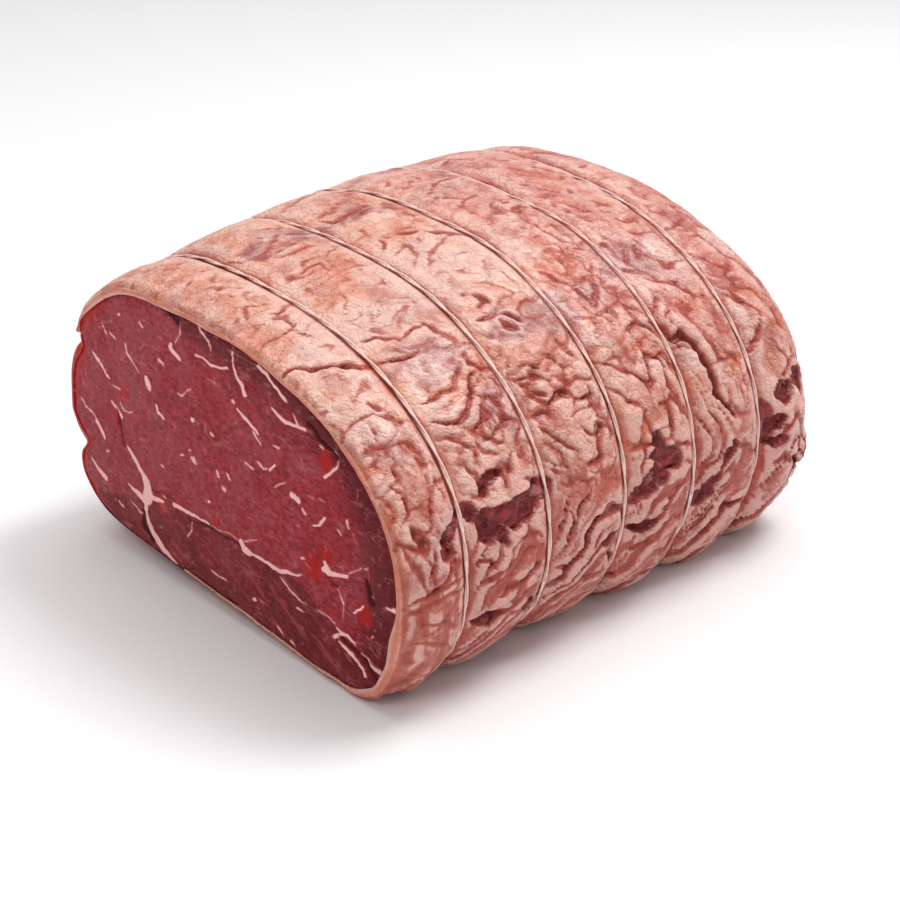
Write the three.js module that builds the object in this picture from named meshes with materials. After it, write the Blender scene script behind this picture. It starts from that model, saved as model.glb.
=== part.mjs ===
// Rolled beef roast, tied with five strings and cut across at both ends.
// Millimetres, +Z up. The roast lies along X on its flat side, the shown cut faces -X
// and the shown flank faces -Y. Sizes across it are given as h, to the right as one
// looks at the shown cut, and z, above the surface it lies on.
import * as THREE from "three";

// Length and tying
const LENGTH = 162;          // shown cut to far cut, along the fat cover
const STRING_COUNT = 5;
const STRING_PITCH = 28;
const FIRST_STRING = 19.4;   // from the shown cut
const STRING_DIA = 1.35;
const STRING_GAP = 0.45;     // string to meat, held all round
const CONTACT_GAP = 0.3;     // lean to fat
const GROOVE_DEPTH = 0.9;    // the line that each string presses into the fat
const GROOVE_WIDTH = 2.2;
const PINCH_LIFT = 2.6;      // underside at a string, above the surface it rests on

// Cross section at the shown cut and at the thickest part
const CUT = {
  right: 76, left: 76.5, top: 84.5, crown: -25, zRight: 30, zLeft: 38,
  baseRight: 55, baseLeft: -40, lift: 7.5, nTopRight: 2.35, nTopLeft: 1.95,
  nLowRight: 2, nLowLeft: 3,
};
const BELLY = {
  right: 75.5, left: 78, top: 103, crown: -22, zRight: 36, zLeft: 46,
  baseRight: 52, baseLeft: -46, lift: 2, nTopRight: 2.03, nTopLeft: 2.1,
  nLowRight: 2, nLowLeft: 2.3,
};
const BELLY_AT = 115;        // how far in the full section is reached

// Bulges between strings
const SWELL_TOP = 0.6;
const SWELL_SIDE = 2;
const SWELL_LOW = 4;
const LUMP = 0.6;            // uneven surface of the fat between strings

// Far end, where the cover rounds over towards the far cut
const END_FROM = 141;
const END_RADIUS = 25;
const END_SHRINK = 0.27;
const END_FALL = 6;          // how much lower the top is at the far end
const END_CENTRE_Z = 44;
const DOME_NEAR = 1.2;       // lean stands a little proud at each cut
const DOME_FAR = 3;
const CUT_EDGE = 0.9;        // rounding of the cover at the shown cut

// Fat cover, as shares of the way round from the left edge over the top
const FAT_FROM = 0.075;
const FAT_TO = 0.8;
const FAT_THICK = 2.7;
const FAT_CORNER = 2;        // extra at the lower right corner
const FAT_CORNER_AT = 0.55;
const FAT_UNDER = 1.3;
const FAT_EDGE = 1;

// Clefts between the muscles of the bare left flank
const CLEFTS = [
  { at: 0.052, depth: 5.5, fade: 0.5, width: 4.5 },
  { at: 0.972, depth: 5, fade: 0.4, width: 4 },
];

const STRINGS = Array.from({ length: STRING_COUNT }, (_, i) => FIRST_STRING + STRING_PITCH * i);
const lerp = (a, b, t) => a + (b - a) * t;
const clamp01 = (t) => Math.min(1, Math.max(0, t));
const smooth = (t) => clamp01(t) ** 2 * (3 - 2 * clamp01(t));
const awayFromString = (x) => Math.min(...STRINGS.map((s) => Math.abs(x - s)));

// 0 at a string, 1 in the middle of a bay
function bay(x) {
  return 1 - (1 - Math.min(awayFromString(x) / (STRING_PITCH / 2), 1)) ** 2.6;
}

function swell(x) {
  return bay(x) * smooth(x / 10);
}

function dimsAt(x) {
  const t = Math.sin((Math.PI / 2) * clamp01(x / BELLY_AT));
  const d = {};
  for (const key of Object.keys(CUT)) d[key] = lerp(CUT[key], BELLY[key], t);
  d.top -= END_FALL * smooth((x - 120) / 45);
  d.base = PINCH_LIFT * (1 - bay(x));
  d.lift += d.base;
  return d;
}

// A quarter of a superellipse about (h, z), from the side or from the crown
function quarter(h, z, a, b, n, cosPart, sinPart, count) {
  const points = [];
  for (let i = 0; i <= count; i++) {
    const f = (Math.PI / 2) * (i / count);
    const c = Math.cos(f) ** (2 / n);
    const s = Math.sin(f) ** (2 / n);
    points.push([h + a * cosPart(c, s), z + b * sinPart(c, s)]);
  }
  return points;
}

// Closed outline of the roast at x, as a dense run of points with the way round to each
function outline(x) {
  const d = dimsAt(x);
  const q = 40;
  const run = [
    ...quarter(d.crown, d.zLeft, d.left + d.crown, d.top - d.zLeft, d.nTopLeft,
      (c) => -c, (c, s) => s, q),
    ...quarter(d.crown, d.zRight, d.right - d.crown, d.top - d.zRight, d.nTopRight,
      (c, s) => s, (c) => c, q),
    ...quarter(d.baseRight, d.zRight, d.right - d.baseRight, d.zRight - d.base, d.nLowRight,
      (c) => c, (c, s) => -s, q),
    ...quarter(d.baseLeft, d.zLeft, d.left + d.baseLeft, d.zLeft - d.lift, d.nLowLeft,
      (c, s) => -s, (c) => -c, q),
  ];
  run.push(run[0]);
  const way = [0];
  for (let i = 1; i < run.length; i++) {
    way.push(way[i - 1] + Math.hypot(run[i][0] - run[i - 1][0], run[i][1] - run[i - 1][1]));
  }
  return { run, way, around: way[way.length - 1] };
}

function pointOn(o, u) {
  const want = (u - Math.floor(u)) * o.around;
  let i = 1;
  while (i < o.way.length - 1 && o.way[i] < want) i += 1;
  const t = (want - o.way[i - 1]) / Math.max(o.way[i] - o.way[i - 1], 1e-9);
  return [lerp(o.run[i - 1][0], o.run[i][0], t), lerp(o.run[i - 1][1], o.run[i][1], t)];
}

function thickness(u) {
  const along = (u - FAT_FROM) / (FAT_TO - FAT_FROM);
  if (along < 0 || along > 1) return 0;
  const full = lerp(FAT_THICK, FAT_UNDER, smooth((u - 0.6) / 0.08));
  const corner = FAT_CORNER * Math.exp(-(((u - FAT_CORNER_AT) / 0.045) ** 2));
  const grow = smooth((u - FAT_FROM) / 0.05) * smooth((FAT_TO - u) / 0.05);
  return lerp(FAT_EDGE, full + corner, grow);
}

function lumps(x, u) {
  const s = u * 420;
  return Math.sin(s / 4.1 + x / 9) * 0.5 + Math.sin(s / 6.3 - x / 5.2 + 1) * 0.5;
}

// One point of the meat: inset is how far below the outer skin it lies
function skin(x, u, o, inset, options = {}) {
  const [h, z] = pointOn(o, u);
  const a = pointOn(o, u - 0.003);
  const b = pointOn(o, u + 0.003);
  const size = Math.hypot(b[0] - a[0], b[1] - a[1]);
  const out = [-(b[1] - a[1]) / size, (b[0] - a[0]) / size];
  const low = clamp01((60 - z) / 60) * clamp01(h / 70 + 0.3);
  const high = smooth((z - 62) / 30);
  let amount = lerp(lerp(SWELL_SIDE, SWELL_LOW, low), SWELL_TOP, high);
  if (options.lumps) amount += LUMP * lumps(x, u);
  let offset = amount * swell(x) - inset;
  if (options.groove) offset -= GROOVE_DEPTH * Math.exp(-((awayFromString(x) / GROOVE_WIDTH) ** 2));
  if (options.clefts) {
    for (const cleft of CLEFTS) {
      const away = (u - cleft.at - Math.round(u - cleft.at)) * o.around;
      const deep = cleft.depth * lerp(1, cleft.fade, smooth(x / LENGTH));
      offset -= deep * Math.exp(-((away / cleft.width) ** 2));
    }
  }
  const turn = Math.max(0, (x - END_FROM) / END_RADIUS);
  const keep = 1 - END_SHRINK * (1 - Math.sqrt(Math.max(0, 1 - turn * turn)));
  const edge = options.edge && x < CUT_EDGE ? CUT_EDGE : 0;
  let ph = h + out[0] * (offset - edge);
  let pz = Math.max(z + out[1] * (offset - edge), inset);
  ph *= keep;
  pz = END_CENTRE_Z + (pz - END_CENTRE_Z) * keep;
  return [x, ph, pz];
}

// Where the sections stand: few for the inner surfaces, more across each string outside
const INNER_X = [0];
const OUTER_X = [0, CUT_EDGE, 6, 13];
for (const s of STRINGS) {
  INNER_X.push(s);
  OUTER_X.push(s - GROOVE_WIDTH, s, s + GROOVE_WIDTH);
  if (s < STRINGS[STRING_COUNT - 1]) {
    INNER_X.push(s + STRING_PITCH / 2);
    OUTER_X.push(s + 7, s + STRING_PITCH / 2, s + STRING_PITCH - 7);
  }
}
INNER_X.push(9);
for (const x of [138, 145, 151, 155, 158, 160, LENGTH]) {
  INNER_X.push(x);
  OUTER_X.push(x);
}
INNER_X.sort((a, b) => a - b);
OUTER_X.sort((a, b) => a - b);

// Shares of the way round: even over the cover, closer over the clefts
const COVERED = [];
const FAT_STEPS = 40;
for (let i = 0; i <= FAT_STEPS; i++) COVERED.push(lerp(FAT_FROM, FAT_TO, i / FAT_STEPS));
const BARE = [];
const UNDER_STEPS = 8;
for (let i = 1; i <= UNDER_STEPS; i++) BARE.push(lerp(FAT_TO, 0.955, i / UNDER_STEPS));
for (const u of [0.963, 0.972, 0.981, 0.99, 1.005, 1.02, 1.033, 1.043, 1.052, 1.061]) {
  BARE.push(u);
}

function mesh(name, positions, triangles, look) {
  const geometry = new THREE.BufferGeometry();
  geometry.setAttribute("position", new THREE.Float32BufferAttribute(positions.flat(), 3));
  geometry.setIndex(triangles.flat());
  geometry.computeVertexNormals();
  const material = new THREE.MeshStandardMaterial(look);
  material.name = name;
  const made = new THREE.Mesh(geometry, material);
  made.name = name;
  return made;
}

// Volume of a closed body: negative when its faces look inwards
function volume(positions, triangles) {
  let sum = 0;
  for (const [a, b, c] of triangles) {
    const [p, q, r] = [positions[a], positions[b], positions[c]];
    sum += p[0] * (q[1] * r[2] - q[2] * r[1]) + p[1] * (q[2] * r[0] - q[0] * r[2])
      + p[2] * (q[0] * r[1] - q[1] * r[0]);
  }
  return sum / 6;
}

function outward(positions, triangles) {
  if (volume(positions, triangles) > 0) return triangles;
  return triangles.map(([a, b, c]) => [a, c, b]);
}

// h runs towards -Y
const place = ([x, h, z]) => [x, -h, z];

// The lean: closed rings along the roast, with a slightly domed cut at each end
function buildLean() {
  const around = [...COVERED, ...BARE];
  const n = around.length;
  const positions = [];
  const triangles = [];
  const ringStart = [];
  const addRing = (points) => {
    ringStart.push(positions.length);
    for (const p of points) positions.push(place(p));
  };
  const ringAt = (x) => {
    const o = outline(x);
    return around.map((u) => {
      const t = thickness(u > 1 ? u - 1 : u);
      const under = t > 0 ? t + CONTACT_GAP : 0;
      return skin(x, u, o, under, { clefts: true });
    });
  };
  const shrunk = (ring, share, x) => ring.map(([, h, z]) => [
    x, h * share, END_CENTRE_Z * 0.95 + (z - END_CENTRE_Z * 0.95) * share,
  ]);
  const first = ringAt(0);
  const last = ringAt(LENGTH);
  addRing(shrunk(first, 0.55, -DOME_NEAR * 0.9));
  addRing(shrunk(first, 0.88, -DOME_NEAR * 0.5));
  for (const x of INNER_X) addRing(ringAt(x));
  addRing(shrunk(last, 0.93, LENGTH + DOME_FAR * 0.5));
  addRing(shrunk(last, 0.6, LENGTH + DOME_FAR * 0.9));
  for (let r = 0; r < ringStart.length - 1; r++) {
    for (let j = 0; j < n; j++) {
      const k = (j + 1) % n;
      const [a, b] = [ringStart[r] + j, ringStart[r] + k];
      const [c, d] = [ringStart[r + 1] + j, ringStart[r + 1] + k];
      triangles.push([a, b, d], [a, d, c]);
    }
  }
  const near = positions.push([-DOME_NEAR, 0, END_CENTRE_Z * 0.95]) - 1;
  const far = positions.push([LENGTH + DOME_FAR, 0, END_CENTRE_Z * 0.95]) - 1;
  const end = ringStart[ringStart.length - 1];
  for (let j = 0; j < n; j++) {
    const k = (j + 1) % n;
    triangles.push([near, k, j], [far, end + j, end + k]);
  }
  return [positions, outward(positions, triangles)];
}

// Joins two runs of points, each with its own spacing along x
function strip(runA, runB, xA, xB) {
  const triangles = [];
  let [i, j] = [0, 0];
  while (i < runA.length - 1 || j < runB.length - 1) {
    const stepA = j === runB.length - 1 || (i < runA.length - 1 && xA[i + 1] <= xB[j + 1]);
    if (stepA) {
      triangles.push([runA[i], runA[i + 1], runB[j]]);
      i += 1;
    } else {
      triangles.push([runA[i], runB[j + 1], runB[j]]);
      j += 1;
    }
  }
  return triangles;
}

// The fat cover: an outer and an inner sheet joined along their four edges
function buildFat() {
  const positions = [];
  const triangles = [];
  const n = COVERED.length;
  const sheet = (xs, pointAt) => {
    const start = positions.length;
    for (const x of xs) {
      const o = outline(x);
      for (const u of COVERED) positions.push(place(pointAt(x, u, o)));
    }
    return start;
  };
  const outer = sheet(OUTER_X, (x, u, o) => skin(x, u, o, 0,
    { groove: true, lumps: true, edge: true }));
  const inner = sheet(INNER_X, (x, u, o) => skin(x, u, o, thickness(u)));
  const panel = (start, rows, flip) => {
    for (let r = 0; r < rows - 1; r++) {
      for (let j = 0; j < n - 1; j++) {
        const a = start + r * n + j;
        const [b, c, d] = [a + 1, a + n, a + n + 1];
        if (flip) triangles.push([a, d, b], [a, c, d]);
        else triangles.push([a, b, d], [a, d, c]);
      }
    }
  };
  panel(outer, OUTER_X.length, false);
  panel(inner, INNER_X.length, true);
  const column = (start, rows, j) => Array.from({ length: rows }, (_, r) => start + r * n + j);
  for (const [j, flip] of [[0, false], [n - 1, true]]) {
    const made = strip(column(outer, OUTER_X.length, j), column(inner, INNER_X.length, j),
      OUTER_X, INNER_X);
    for (const [a, b, c] of made) triangles.push(flip ? [a, c, b] : [a, b, c]);
  }
  const lastOuter = outer + (OUTER_X.length - 1) * n;
  const lastInner = inner + (INNER_X.length - 1) * n;
  for (let j = 0; j < n - 1; j++) {
    triangles.push([outer + j, inner + j, inner + j + 1], [outer + j, inner + j + 1, outer + j + 1]);
    triangles.push([lastOuter + j, lastInner + j + 1, lastInner + j],
      [lastOuter + j, lastOuter + j + 1, lastInner + j + 1]);
  }
  return [positions, outward(positions, triangles)];
}

// One string: a closed loop that lies in its groove and bridges the clefts
function buildString(x) {
  const around = [...COVERED, ...BARE];
  const o = outline(x);
  const sides = 6;
  const positions = [];
  const triangles = [];
  const radius = STRING_DIA / 2;
  const loop = around.map((u) => {
    const covered = u >= FAT_FROM && u <= FAT_TO;
    const sunk = covered ? GROOVE_DEPTH : 0;
    return skin(x, u, o, sunk - STRING_GAP - radius);
  });
  const n = loop.length;
  loop.forEach((p, i) => {
    const before = loop[(i + n - 1) % n];
    const after = loop[(i + 1) % n];
    const size = Math.hypot(after[1] - before[1], after[2] - before[2]);
    const out = [-(after[2] - before[2]) / size, (after[1] - before[1]) / size];
    for (let k = 0; k < sides; k++) {
      const f = (2 * Math.PI * (k + 0.5)) / sides;
      const away = radius * Math.cos(f);
      positions.push(place([x + radius * Math.sin(f), p[1] + out[0] * away, p[2] + out[1] * away]));
    }
  });
  for (let i = 0; i < n; i++) {
    for (let k = 0; k < sides; k++) {
      const [a, b] = [i * sides + k, i * sides + ((k + 1) % sides)];
      const [c, d] = [((i + 1) % n) * sides + k, ((i + 1) % n) * sides + ((k + 1) % sides)];
      triangles.push([a, b, d], [a, d, c]);
    }
  }
  return [positions, outward(positions, triangles)];
}

const bodies = [
  ["lean", buildLean(), { color: 0x6d1a20, roughness: 0.42, metalness: 0 }],
  ["fat_cover", buildFat(), { color: 0xd9987f, roughness: 0.48, metalness: 0 }],
];
STRINGS.forEach((x, i) => {
  bodies.push([`string_${i + 1}`, buildString(x), { color: 0xe6cdbb, roughness: 0.7, metalness: 0 }]);
});

// The origin is moved under the middle of the whole, on the surface it rests on
const low = [Infinity, Infinity, Infinity];
const high = [-Infinity, -Infinity, -Infinity];
for (const [, [positions]] of bodies) {
  for (const p of positions) {
    for (let k = 0; k < 3; k++) {
      low[k] = Math.min(low[k], p[k]);
      high[k] = Math.max(high[k], p[k]);
    }
  }
}
const shift = [-(low[0] + high[0]) / 2, -(low[1] + high[1]) / 2, -low[2]];

const group = new THREE.Group();
group.name = "rolled_beef_roast";
for (const [name, [positions, triangles], look] of bodies) {
  const moved = positions.map((p) => p.map((value, k) => value + shift[k]));
  group.add(mesh(name, moved, triangles, look));
}

export default group;
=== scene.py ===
# %% [markdown]
# # A rolled and tied beef joint
# The joint is boneless beef, rolled under a cover of fat, tied with five strings and cut
# across. This lesson builds it from three kinds of piece: the lean, the cover and the
# strings. Each one is a dense mesh whose points are placed by number work, because raw meat
# has folds, creases and marbling at every size, and real relief catches the light from
# every side. The imported model is loaded first, and each of its parts is hidden when the
# piece made here in its place is built.

# %% Load the frame
import math

import bpy
import numpy as np
from mathutils import Matrix, Vector


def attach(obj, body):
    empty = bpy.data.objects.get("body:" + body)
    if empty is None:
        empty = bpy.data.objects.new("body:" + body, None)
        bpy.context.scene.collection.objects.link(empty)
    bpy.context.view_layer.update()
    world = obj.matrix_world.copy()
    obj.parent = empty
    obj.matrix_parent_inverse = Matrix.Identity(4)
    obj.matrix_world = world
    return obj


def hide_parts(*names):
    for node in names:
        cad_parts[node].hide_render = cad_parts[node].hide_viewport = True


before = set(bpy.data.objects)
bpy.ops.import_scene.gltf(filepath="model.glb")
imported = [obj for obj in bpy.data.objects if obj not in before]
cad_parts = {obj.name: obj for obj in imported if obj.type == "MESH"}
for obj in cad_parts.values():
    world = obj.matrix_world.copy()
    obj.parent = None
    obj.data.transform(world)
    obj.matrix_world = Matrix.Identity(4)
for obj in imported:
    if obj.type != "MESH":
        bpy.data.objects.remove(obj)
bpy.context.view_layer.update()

# %% [markdown]
# ## The form of the joint
# Every piece shares one form. A section across the joint is a closed line made of four
# quarters of a rounded oval, and its sizes change from the shown cut to the belly. The
# strings pinch it, so it swells between them. A point is named by x, the distance from the
# shown cut in millimetres, and by u, the share of the way round: from the left edge over
# the top, down the near flank and back underneath. Folds are easier to think of on the
# unrolled skin, so s is the way round in millimetres.

# %% Sizes of the form, in millimetres
LENGTH, PITCH, FIRST_STRING = 162.0, 28.0, 19.4
STRINGS = FIRST_STRING + PITCH * np.arange(5)
AROUND = 425.0
PINCH_LIFT = 2.6
CUT = {"right": 76, "left": 76.5, "top": 84.5, "crown": -25, "z_right": 30, "z_left": 38,
       "base_right": 55, "base_left": -40, "lift": 7.5, "top_right": 2.35, "top_left": 1.95,
       "low_right": 2, "low_left": 3}
BELLY = {"right": 75.5, "left": 78, "top": 103, "crown": -22, "z_right": 36, "z_left": 46,
         "base_right": 52, "base_left": -46, "lift": 2, "top_right": 2.03, "top_left": 2.1,
         "low_right": 2, "low_left": 2.3}
FAT_FROM, FAT_TO = 0.075, 0.8
UNDERNEATH = 262
SHIFT = np.array([-81.9, -0.55, 0.0])
FULL_BY, FAR_DROP, BULGE_POWER, CURVE_POINTS = 115, 6, 2.6, 90
ROUNDS_FROM, ROUND_LONG, ROUND_LOSS = 141, 25, 0.27
HEART = 44  # height of the middle line, to which the far end rounds over


def smooth(t):
    t = np.clip(t, 0, 1)
    return t * t * (3 - 2 * t)


def mix(a, b, t):
    return a + (b - a) * t


def from_string(x):
    """How far it is along the joint to the nearest string."""
    return np.abs(np.asarray(x, float)[..., None] - STRINGS).min(-1)


def bay(x):
    """0 at a string and 1 between two of them."""
    return 1 - (1 - np.minimum(from_string(x) / (PITCH / 2), 1)) ** BULGE_POWER


def section(x, u, sink=0.0):
    """Points (h, z) of the section at x, and the way out from each."""
    t = math.sin(math.pi / 2 * min(max(x / FULL_BY, 0), 1))
    d = {key: mix(CUT[key], BELLY[key], t) for key in CUT}
    d["top"] -= FAR_DROP * smooth((x - 120) / 45)
    bulge = float(bay(x))
    base = PINCH_LIFT * (1 - bulge)
    lift = d["lift"] + base
    turn = np.linspace(0, math.pi / 2, CURVE_POINTS)

    def quarter(n):
        return np.abs(np.cos(turn)) ** (2 / n), np.abs(np.sin(turn)) ** (2 / n)

    crown = d["crown"]
    c, s = quarter(d["top_left"])
    runs = [(crown - (d["left"] + crown) * c, d["z_left"] + (d["top"] - d["z_left"]) * s)]
    c, s = quarter(d["top_right"])
    runs.append((crown + (d["right"] - crown) * s, d["z_right"] + (d["top"] - d["z_right"]) * c))
    c, s = quarter(d["low_right"])
    foot = d["base_right"]
    runs.append((foot + (d["right"] - foot) * c, d["z_right"] - (d["z_right"] - base) * s))
    c, s = quarter(d["low_left"])
    foot = d["base_left"]
    runs.append((foot - (d["left"] + foot) * s, d["z_left"] - (d["z_left"] - lift) * c))
    h = np.concatenate([run[0] for run in runs] + [runs[0][0][:1]])
    z = np.concatenate([run[1] for run in runs] + [runs[0][1][:1]])
    way = np.concatenate([[0], np.cumsum(np.hypot(np.diff(h), np.diff(z)))])

    def at(share):
        want = (share % 1) * way[-1]
        return np.stack([np.interp(want, way, h), np.interp(want, way, z)], 1)

    point, step = at(u), at(u + 0.004) - at(u - 0.004)
    step /= np.linalg.norm(step, axis=1)[:, None]
    out = np.stack([-step[:, 1], step[:, 0]], 1)
    low = np.clip((60 - point[:, 1]) / 60, 0, 1) * np.clip(point[:, 0] / 70 + 0.3, 0, 1)
    high = smooth((point[:, 1] - 62) / 30)
    amount = mix(mix(2.0, 4.0, low), 0.6, high)
    point = point + out * (amount * bulge * float(smooth(x / 10)) - sink)[:, None]
    point[:, 1] = np.maximum(point[:, 1], sink)
    return point, out


def shoulder(x):
    """How much of its size the section keeps where the cover rounds over at the far end."""
    turn = np.clip((x - ROUNDS_FROM) / ROUND_LONG, 0, 1)
    return 1 - ROUND_LOSS * (1 - np.sqrt(1 - turn * turn))


def fat_depth(u, x=LENGTH):
    """How thick the cover is. It is a little thinner at the shown cut."""
    full = mix(2.7, 1.3, smooth((u - 0.6) / 0.08)) + 2 * np.exp(-((u - 0.55) / 0.045) ** 2)
    full = full * mix(0.8, 1.0, smooth(x / 9))
    grow = smooth((u - FAT_FROM) / 0.05) * smooth((FAT_TO - u) / 0.05)
    inside = (u >= FAT_FROM) & (u <= FAT_TO)
    return np.where(inside, mix(1.0, full * (1 + 0.3 * ragged_edge(u)), grow), 0.0)


def ragged_edge(u):
    """The cover isn't evenly thick: a few slow waves round the joint."""
    return 0.9 * noise(u * AROUND, u * 0, 21, 3, 3)


def settle(x, s):
    """Over the ridge the cover lies lower at the strings and stands up between them."""
    ridge = smooth((150 - s) / 40) * smooth((s - 60) / 15)
    middle = smooth((x - 35) / 20) * (1 - smooth((x - 118) / 20))
    swell = bay(x) * smooth(x / 10)
    far = smooth((x - 85) / 20)
    return ridge * (mix(1.1, 2.2, far) * swell - 1.8 * middle - mix(0.5, 1.2, far))


def skin(rows, u, height, sink=None):
    """The surface over a grid of rows along x and shares u, raised by height, in millimetres."""
    grid = np.zeros((len(rows), len(u), 3))
    sink = np.zeros((len(rows), len(u))) if sink is None else sink
    for i, x in enumerate(rows):
        point, out = section(float(x), u, sink[i])
        point = point + out * height[i][:, None]
        point[:, 1] = np.maximum(point[:, 1], np.minimum(sink[i], 0.05))
        keep = float(shoulder(x))
        grid[i, :, 0] = x
        grid[i, :, 1] = -point[:, 0] * keep
        grid[i, :, 2] = HEART + (point[:, 1] - HEART) * keep
    return grid


print("section at the belly is", np.ptp(section(90.0, np.linspace(0, 1, 99))[0], axis=0).round(1))

# %% [markdown]
# ## Patterns by number
# Creases and lumps come from three helpers. Soft noise gives rolling swells. A cell pattern
# gives the pillows and cracks of crumpled fat: each point knows its nearest and second
# nearest seed, and where the two distances are alike runs a crack. A stroke is a drawn line
# with a width, for the seams and folds that this joint is known by.

# %% Noise, cells and strokes
def lattice(i, j, seed):
    n = (i.astype(np.int64) * 73856093) ^ (j.astype(np.int64) * 19349663) ^ (seed * 83492791)
    n = ((n ^ (n >> 13)) * 1274126177) & 0x7FFFFFFF
    n = ((n ^ (n >> 15)) * 668265263) & 0x7FFFFFFF
    return ((n ^ (n >> 12)) & 0xFFFFF) / 0xFFFFF


def noise(p, q, size, seed, octaves=3):
    """Soft noise between about -1 and 1, with swells of the given size."""
    total, weight = 0.0, 0.0
    for o in range(octaves):
        a, b = p / size * 2 ** o + 17.3 * o, q / size * 2 ** o - 9.1 * o
        i, j = np.floor(a), np.floor(b)
        f, g = a - i, b - j
        f, g = f * f * f * (f * (f * 6 - 15) + 10), g * g * g * (g * (g * 6 - 15) + 10)
        low = mix(lattice(i, j, seed + o), lattice(i + 1, j, seed + o), f)
        high = mix(lattice(i, j + 1, seed + o), lattice(i + 1, j + 1, seed + o), f)
        total = total + (mix(low, high, g) * 2 - 1) * 0.5 ** o
        weight += 0.5 ** o
    return total / weight * 1.35


def cells(p, q, size, seed):
    """Distance to the nearest seed, how much further the next one is, and a number per cell."""
    a, b = p / size, q / size
    i, j = np.floor(a), np.floor(b)
    first, second = np.full(a.shape, 9.0), np.full(a.shape, 9.0)
    own = np.zeros(a.shape)
    for di in (-1, 0, 1):
        for dj in (-1, 0, 1):
            ci, cj = i + di, j + dj
            away = np.hypot(ci + 0.1 + 0.8 * lattice(ci, cj, seed) - a,
                            cj + 0.1 + 0.8 * lattice(ci, cj, seed + 7) - b)
            nearer = away < first
            second = np.where(nearer, first, np.minimum(second, away))
            own = np.where(nearer, lattice(ci, cj, seed + 13), own)
            first = np.where(nearer, away, first)
    return first, second - first, own


def stroke(p, q, points, start, end, soft=0.35, taper=0.0):
    """1 on a drawn line and 0 away from it. The line is start wide at its first point."""
    points = np.array(points, float)
    lengths = np.hypot(*np.diff(points, axis=0).T)
    total, done = lengths.sum(), 0.0
    best = np.full(p.shape, -99.0)
    for k, size in enumerate(lengths):
        (a, b), (c, d) = points[k], points[k + 1]
        t = np.clip(((p - a) * (c - a) + (q - b) * (d - b)) / max(size * size, 1e-9), 0, 1)
        away = np.hypot(p - a - (c - a) * t, q - b - (d - b) * t)
        share = (done + t * size) / total
        width = mix(start, end, share) * (1 - taper * np.abs(2 * share - 1) ** 3)
        best = np.maximum(best, width / 2 - away)
        done += size
    return smooth(best / soft / 2 + 0.5)


def blot(p, q, x, y, long, wide, lean_deg, soft=0.25):
    """1 inside a leaning oval and 0 outside."""
    c, s = math.cos(math.radians(lean_deg)), math.sin(math.radians(lean_deg))
    a, b = ((p - x) * c + (q - y) * s) / long, ((q - y) * c - (p - x) * s) / wide
    return smooth((1 - np.hypot(a, b)) / soft + 0.5)


# %% Making a mesh from grids of points
def stitch(a, a_at, b, b_at):
    """Triangles between two runs of points whose places along them differ."""
    faces, i, j = [], 0, 0
    while i < len(a) - 1 or j < len(b) - 1:
        if j == len(b) - 1 or (i < len(a) - 1 and a_at[i + 1] <= b_at[j + 1]):
            faces.append((a[i], a[i + 1], b[j]))
            i += 1
        else:
            faces.append((a[i], b[j + 1], b[j]))
            j += 1
    return faces


def quads(ids, closed=False):
    """Faces over a grid of point numbers."""
    if closed:
        ids = np.concatenate([ids, ids[:, :1]], 1)
    a, b, c, d = ids[:-1, :-1], ids[:-1, 1:], ids[1:, 1:], ids[1:, :-1]
    return np.stack([a, b, c, d], -1).reshape(-1, 4).tolist()


def make_piece(name, node, points, faces, marks, sharp=60):
    mesh = bpy.data.meshes.new(name)
    mesh.from_pydata(((points + SHIFT) / 1000).tolist(), [], faces)
    mesh.update()
    volume = sum(f.center.dot(f.normal) * f.area for f in mesh.polygons)
    if volume < 0:
        mesh.flip_normals()
    mesh.shade_smooth()
    mesh.set_sharp_from_angle(angle=math.radians(sharp))
    for key, values in marks.items():
        layer = mesh.attributes.new(key, "FLOAT", "POINT")
        layer.data.foreach_set("value", np.clip(values, -1, 2).astype(np.float32))
    piece = bpy.data.objects.new(name, mesh)
    bpy.context.scene.collection.objects.link(piece)
    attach(piece, "root")
    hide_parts(node)
    triangles = sum(len(f) - 2 for f in faces)
    print(name, "has", len(points), "points and", triangles, "triangles")
    return piece


# %% [markdown]
# ## The fat cover
# The cover of a real joint isn't one smooth skin. Near the shown cut it is smooth and
# peach-coloured, with a few long creases. Over the near flank it is crumpled into small
# greyish pillows with dark red cracks. Lower down it folds towards the strings, and dark
# muscle shows through gaps. Sculpting it by hand would give the same look, but couldn't be
# changed by number. So all of it is worked out on the unrolled skin as one height in
# millimetres, and as masks that the finish turns into colour. The long creases are drawn.

# %% Where the cover is smooth, crumpled or folded
def zones(x, s):
    ragged = 8 * noise(x, s, 26, 5, 2)
    crumpled = 0.42 * smooth((s + ragged - 143) / 12) + 0.58 * smooth((s + ragged - 168) / 10)
    crumpled = crumpled * (1 - 0.2 * smooth((x - 98) / 12))
    crumpled = np.maximum(crumpled, 0.62 * smooth((x - 70) / 24) * smooth((s + ragged - 66) / 30))
    crumpled = np.maximum(crumpled, 0.12 + 0.12 * noise(x, s, 24, 6, 2))
    crumpled = crumpled * (1 - 0.8 * smooth((s - 213) / 5) * smooth((20 - x) / 4))
    folded = smooth((s + 0.4 * ragged - 206) / 10) * smooth((x - 17) / 6)
    return np.clip(crumpled, 0, 1), folded * (1 - smooth((s - 285) / 20))


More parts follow.
